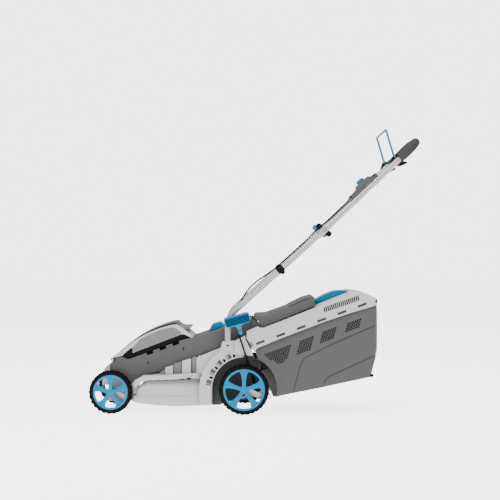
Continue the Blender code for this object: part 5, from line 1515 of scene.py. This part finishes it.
# %% Finishes on the solids, fins and fan blades
KEPT = {
    "battery_tray": BLACK, "battery_1": BLACK, "battery_2": BLACK, "safety_key": BLUE, "motor": BLACK,
    "speed_controller": BLACK,
    "motor_shaft": STEEL, "blade_fan": CAST, "blade": STEEL, "blade_bolt": STEEL, "rear_axle": STEEL,
    "front_axle": STEEL, "link_rod": STEEL,
    "lid_hinge_pin": STEEL, "flap_hinge_pin": STEEL,
}
for node, material in KEPT.items():
    NODES[node].data.materials.clear()
    NODES[node].data.materials.append(material)


def stood_up(piece, centre):
    """Turn a ring made around the Y axis so that it stands around a vertical line."""
    piece.data.transform(Matrix.Translation(centre) @ Matrix.Rotation(pi / 2, 4, "X"))
    return piece


MOTOR_R, MOTOR_MIDDLE, FINS = 0.0565, 0.1600, 28
VANE_R, FAN_TOP, VANES = 0.0480, 0.0741, 12
LIFT_AT, LIFT_HALF, LIFT_WIDTH = 0.130, 0.030, 0.0240      # the raised strips near the blade's ends
fins = ring("motor_fins", FINS, (0, 0, 0), MOTOR_R, 0, 360 / FINS, (0.0045, 0.0480, 0.0022), BLACK)
fins = stood_up(fins, (BLADE_X, 0, MOTOR_MIDDLE))
hang(fins, "deck", "black")
vanes = ring("fan_vanes", VANES, (0, 0, 0), VANE_R, 0, 360 / VANES, (0.0300, 0.0120, 0.0018), CAST)
vanes = stood_up(vanes, (BLADE_X, 0, FAN_TOP))
hang(vanes, "blade_rotor", "aluminium")
lifts = [block(f"blade_lift_{i}", (BLADE_X + s * LIFT_AT - LIFT_HALF, min(0.0, s * LIFT_WIDTH), 0.0474),
               (BLADE_X + s * LIFT_AT + LIFT_HALF, max(0.0, s * LIFT_WIDTH), 0.0492), STEEL, 0.0006)
         for i, s in enumerate((1, -1))]
hang(group_up("blade_lifts", lifts), "blade_rotor", "steel")
print("solids with a new finish:", len(KEPT))

# %% [markdown]
# ## Studio
# The mower stands on a plain pale floor, with soft light from above and from two places on its left. The
# floor and the sky are brighter to the camera than to the mower, so they look white and the dark plastic
# stays dark. The camera looks level and square at the operator's left side from far off, so the side view
# has hardly any perspective.

# %% Floor
FLOOR_SIZE = 40.0
shape = bmesh.new()
bmesh.ops.create_grid(shape, x_segments=1, y_segments=1, size=FLOOR_SIZE / 2)
bmesh.ops.translate(shape, vec=(0, 0, -0.0005), verts=shape.verts)
mesh = bpy.data.meshes.new("studio_floor")
shape.to_mesh(mesh)
shape.free()
floor = bpy.data.objects.new("studio_floor", mesh)
bpy.context.scene.collection.objects.link(floor)
paper = bpy.data.materials.new("pale_paper")
paper.use_nodes = True
paper_nodes = paper.node_tree.nodes
paper_shader = paper_nodes["Principled BSDF"]
paper_shader.inputs["Base Color"].default_value = (0.90, 0.90, 0.90, 1)
paper_shader.inputs["Roughness"].default_value = 0.9
paper_shader.inputs["Emission Color"].default_value = (1, 1, 1, 1)
glow_seen, glow = paper_nodes.new("ShaderNodeLightPath"), paper_nodes.new("ShaderNodeMapRange")
glow.inputs["To Min"].default_value, glow.inputs["To Max"].default_value = 1.2, 3.4
paper.node_tree.links.new(glow_seen.outputs["Is Camera Ray"], glow.inputs["Value"])
paper.node_tree.links.new(glow.outputs["Result"], paper_shader.inputs["Emission Strength"])
mesh.materials.append(paper)


print("floor size:", FLOOR_SIZE)


# %% Lights and sky
def soft_light(name, spot, aim, size, power):
    light = bpy.data.lights.new(name, "AREA")
    light.size, light.energy = size, power
    made = bpy.data.objects.new(name, light)
    made.location = spot
    made.rotation_euler = (Vector(aim) - Vector(spot)).to_track_quat("-Z", "Y").to_euler()
    bpy.context.scene.collection.objects.link(made)


soft_light("key_light", (-1.6, -2.4, 3.2), (0, 0, 0.3), 1.8, 110)
soft_light("fill_light", (2.4, -3.0, 1.6), (0, 0, 0.4), 2.6, 30)
soft_light("top_light", (0.2, 0.6, 3.4), (0, 0, 0.3), 2.4, 90)
world = bpy.data.worlds.new("studio")
world.use_nodes = True
sky_nodes, sky_link = world.node_tree.nodes, world.node_tree.links.new
sky = sky_nodes["Background"]
sky.inputs["Color"].default_value = (1.0, 1.0, 1.0, 1)
seen, level = sky_nodes.new("ShaderNodeLightPath"), sky_nodes.new("ShaderNodeMapRange")
level.inputs["To Min"].default_value, level.inputs["To Max"].default_value = 0.55, 4.0
sky_link(seen.outputs["Is Camera Ray"], level.inputs["Value"])
sky_link(level.outputs["Result"], sky.inputs["Strength"])
bpy.context.scene.world = world
print("soft lights: 3")

# %% Camera
CAMERA_AT, FOCAL_LENGTH, SENSOR_WIDTH = (-0.0196, -5.265, 0.579), 103.8, 36.0
lens = bpy.data.cameras.new("side_camera")
lens.lens, lens.sensor_width = FOCAL_LENGTH, SENSOR_WIDTH      # both in millimetres
camera = bpy.data.objects.new("side_camera", lens)
camera.location = CAMERA_AT
camera.rotation_euler = (pi / 2, 0, 0)
bpy.context.scene.collection.objects.link(camera)
bpy.context.scene.camera = camera
print("camera at", tuple(camera.location))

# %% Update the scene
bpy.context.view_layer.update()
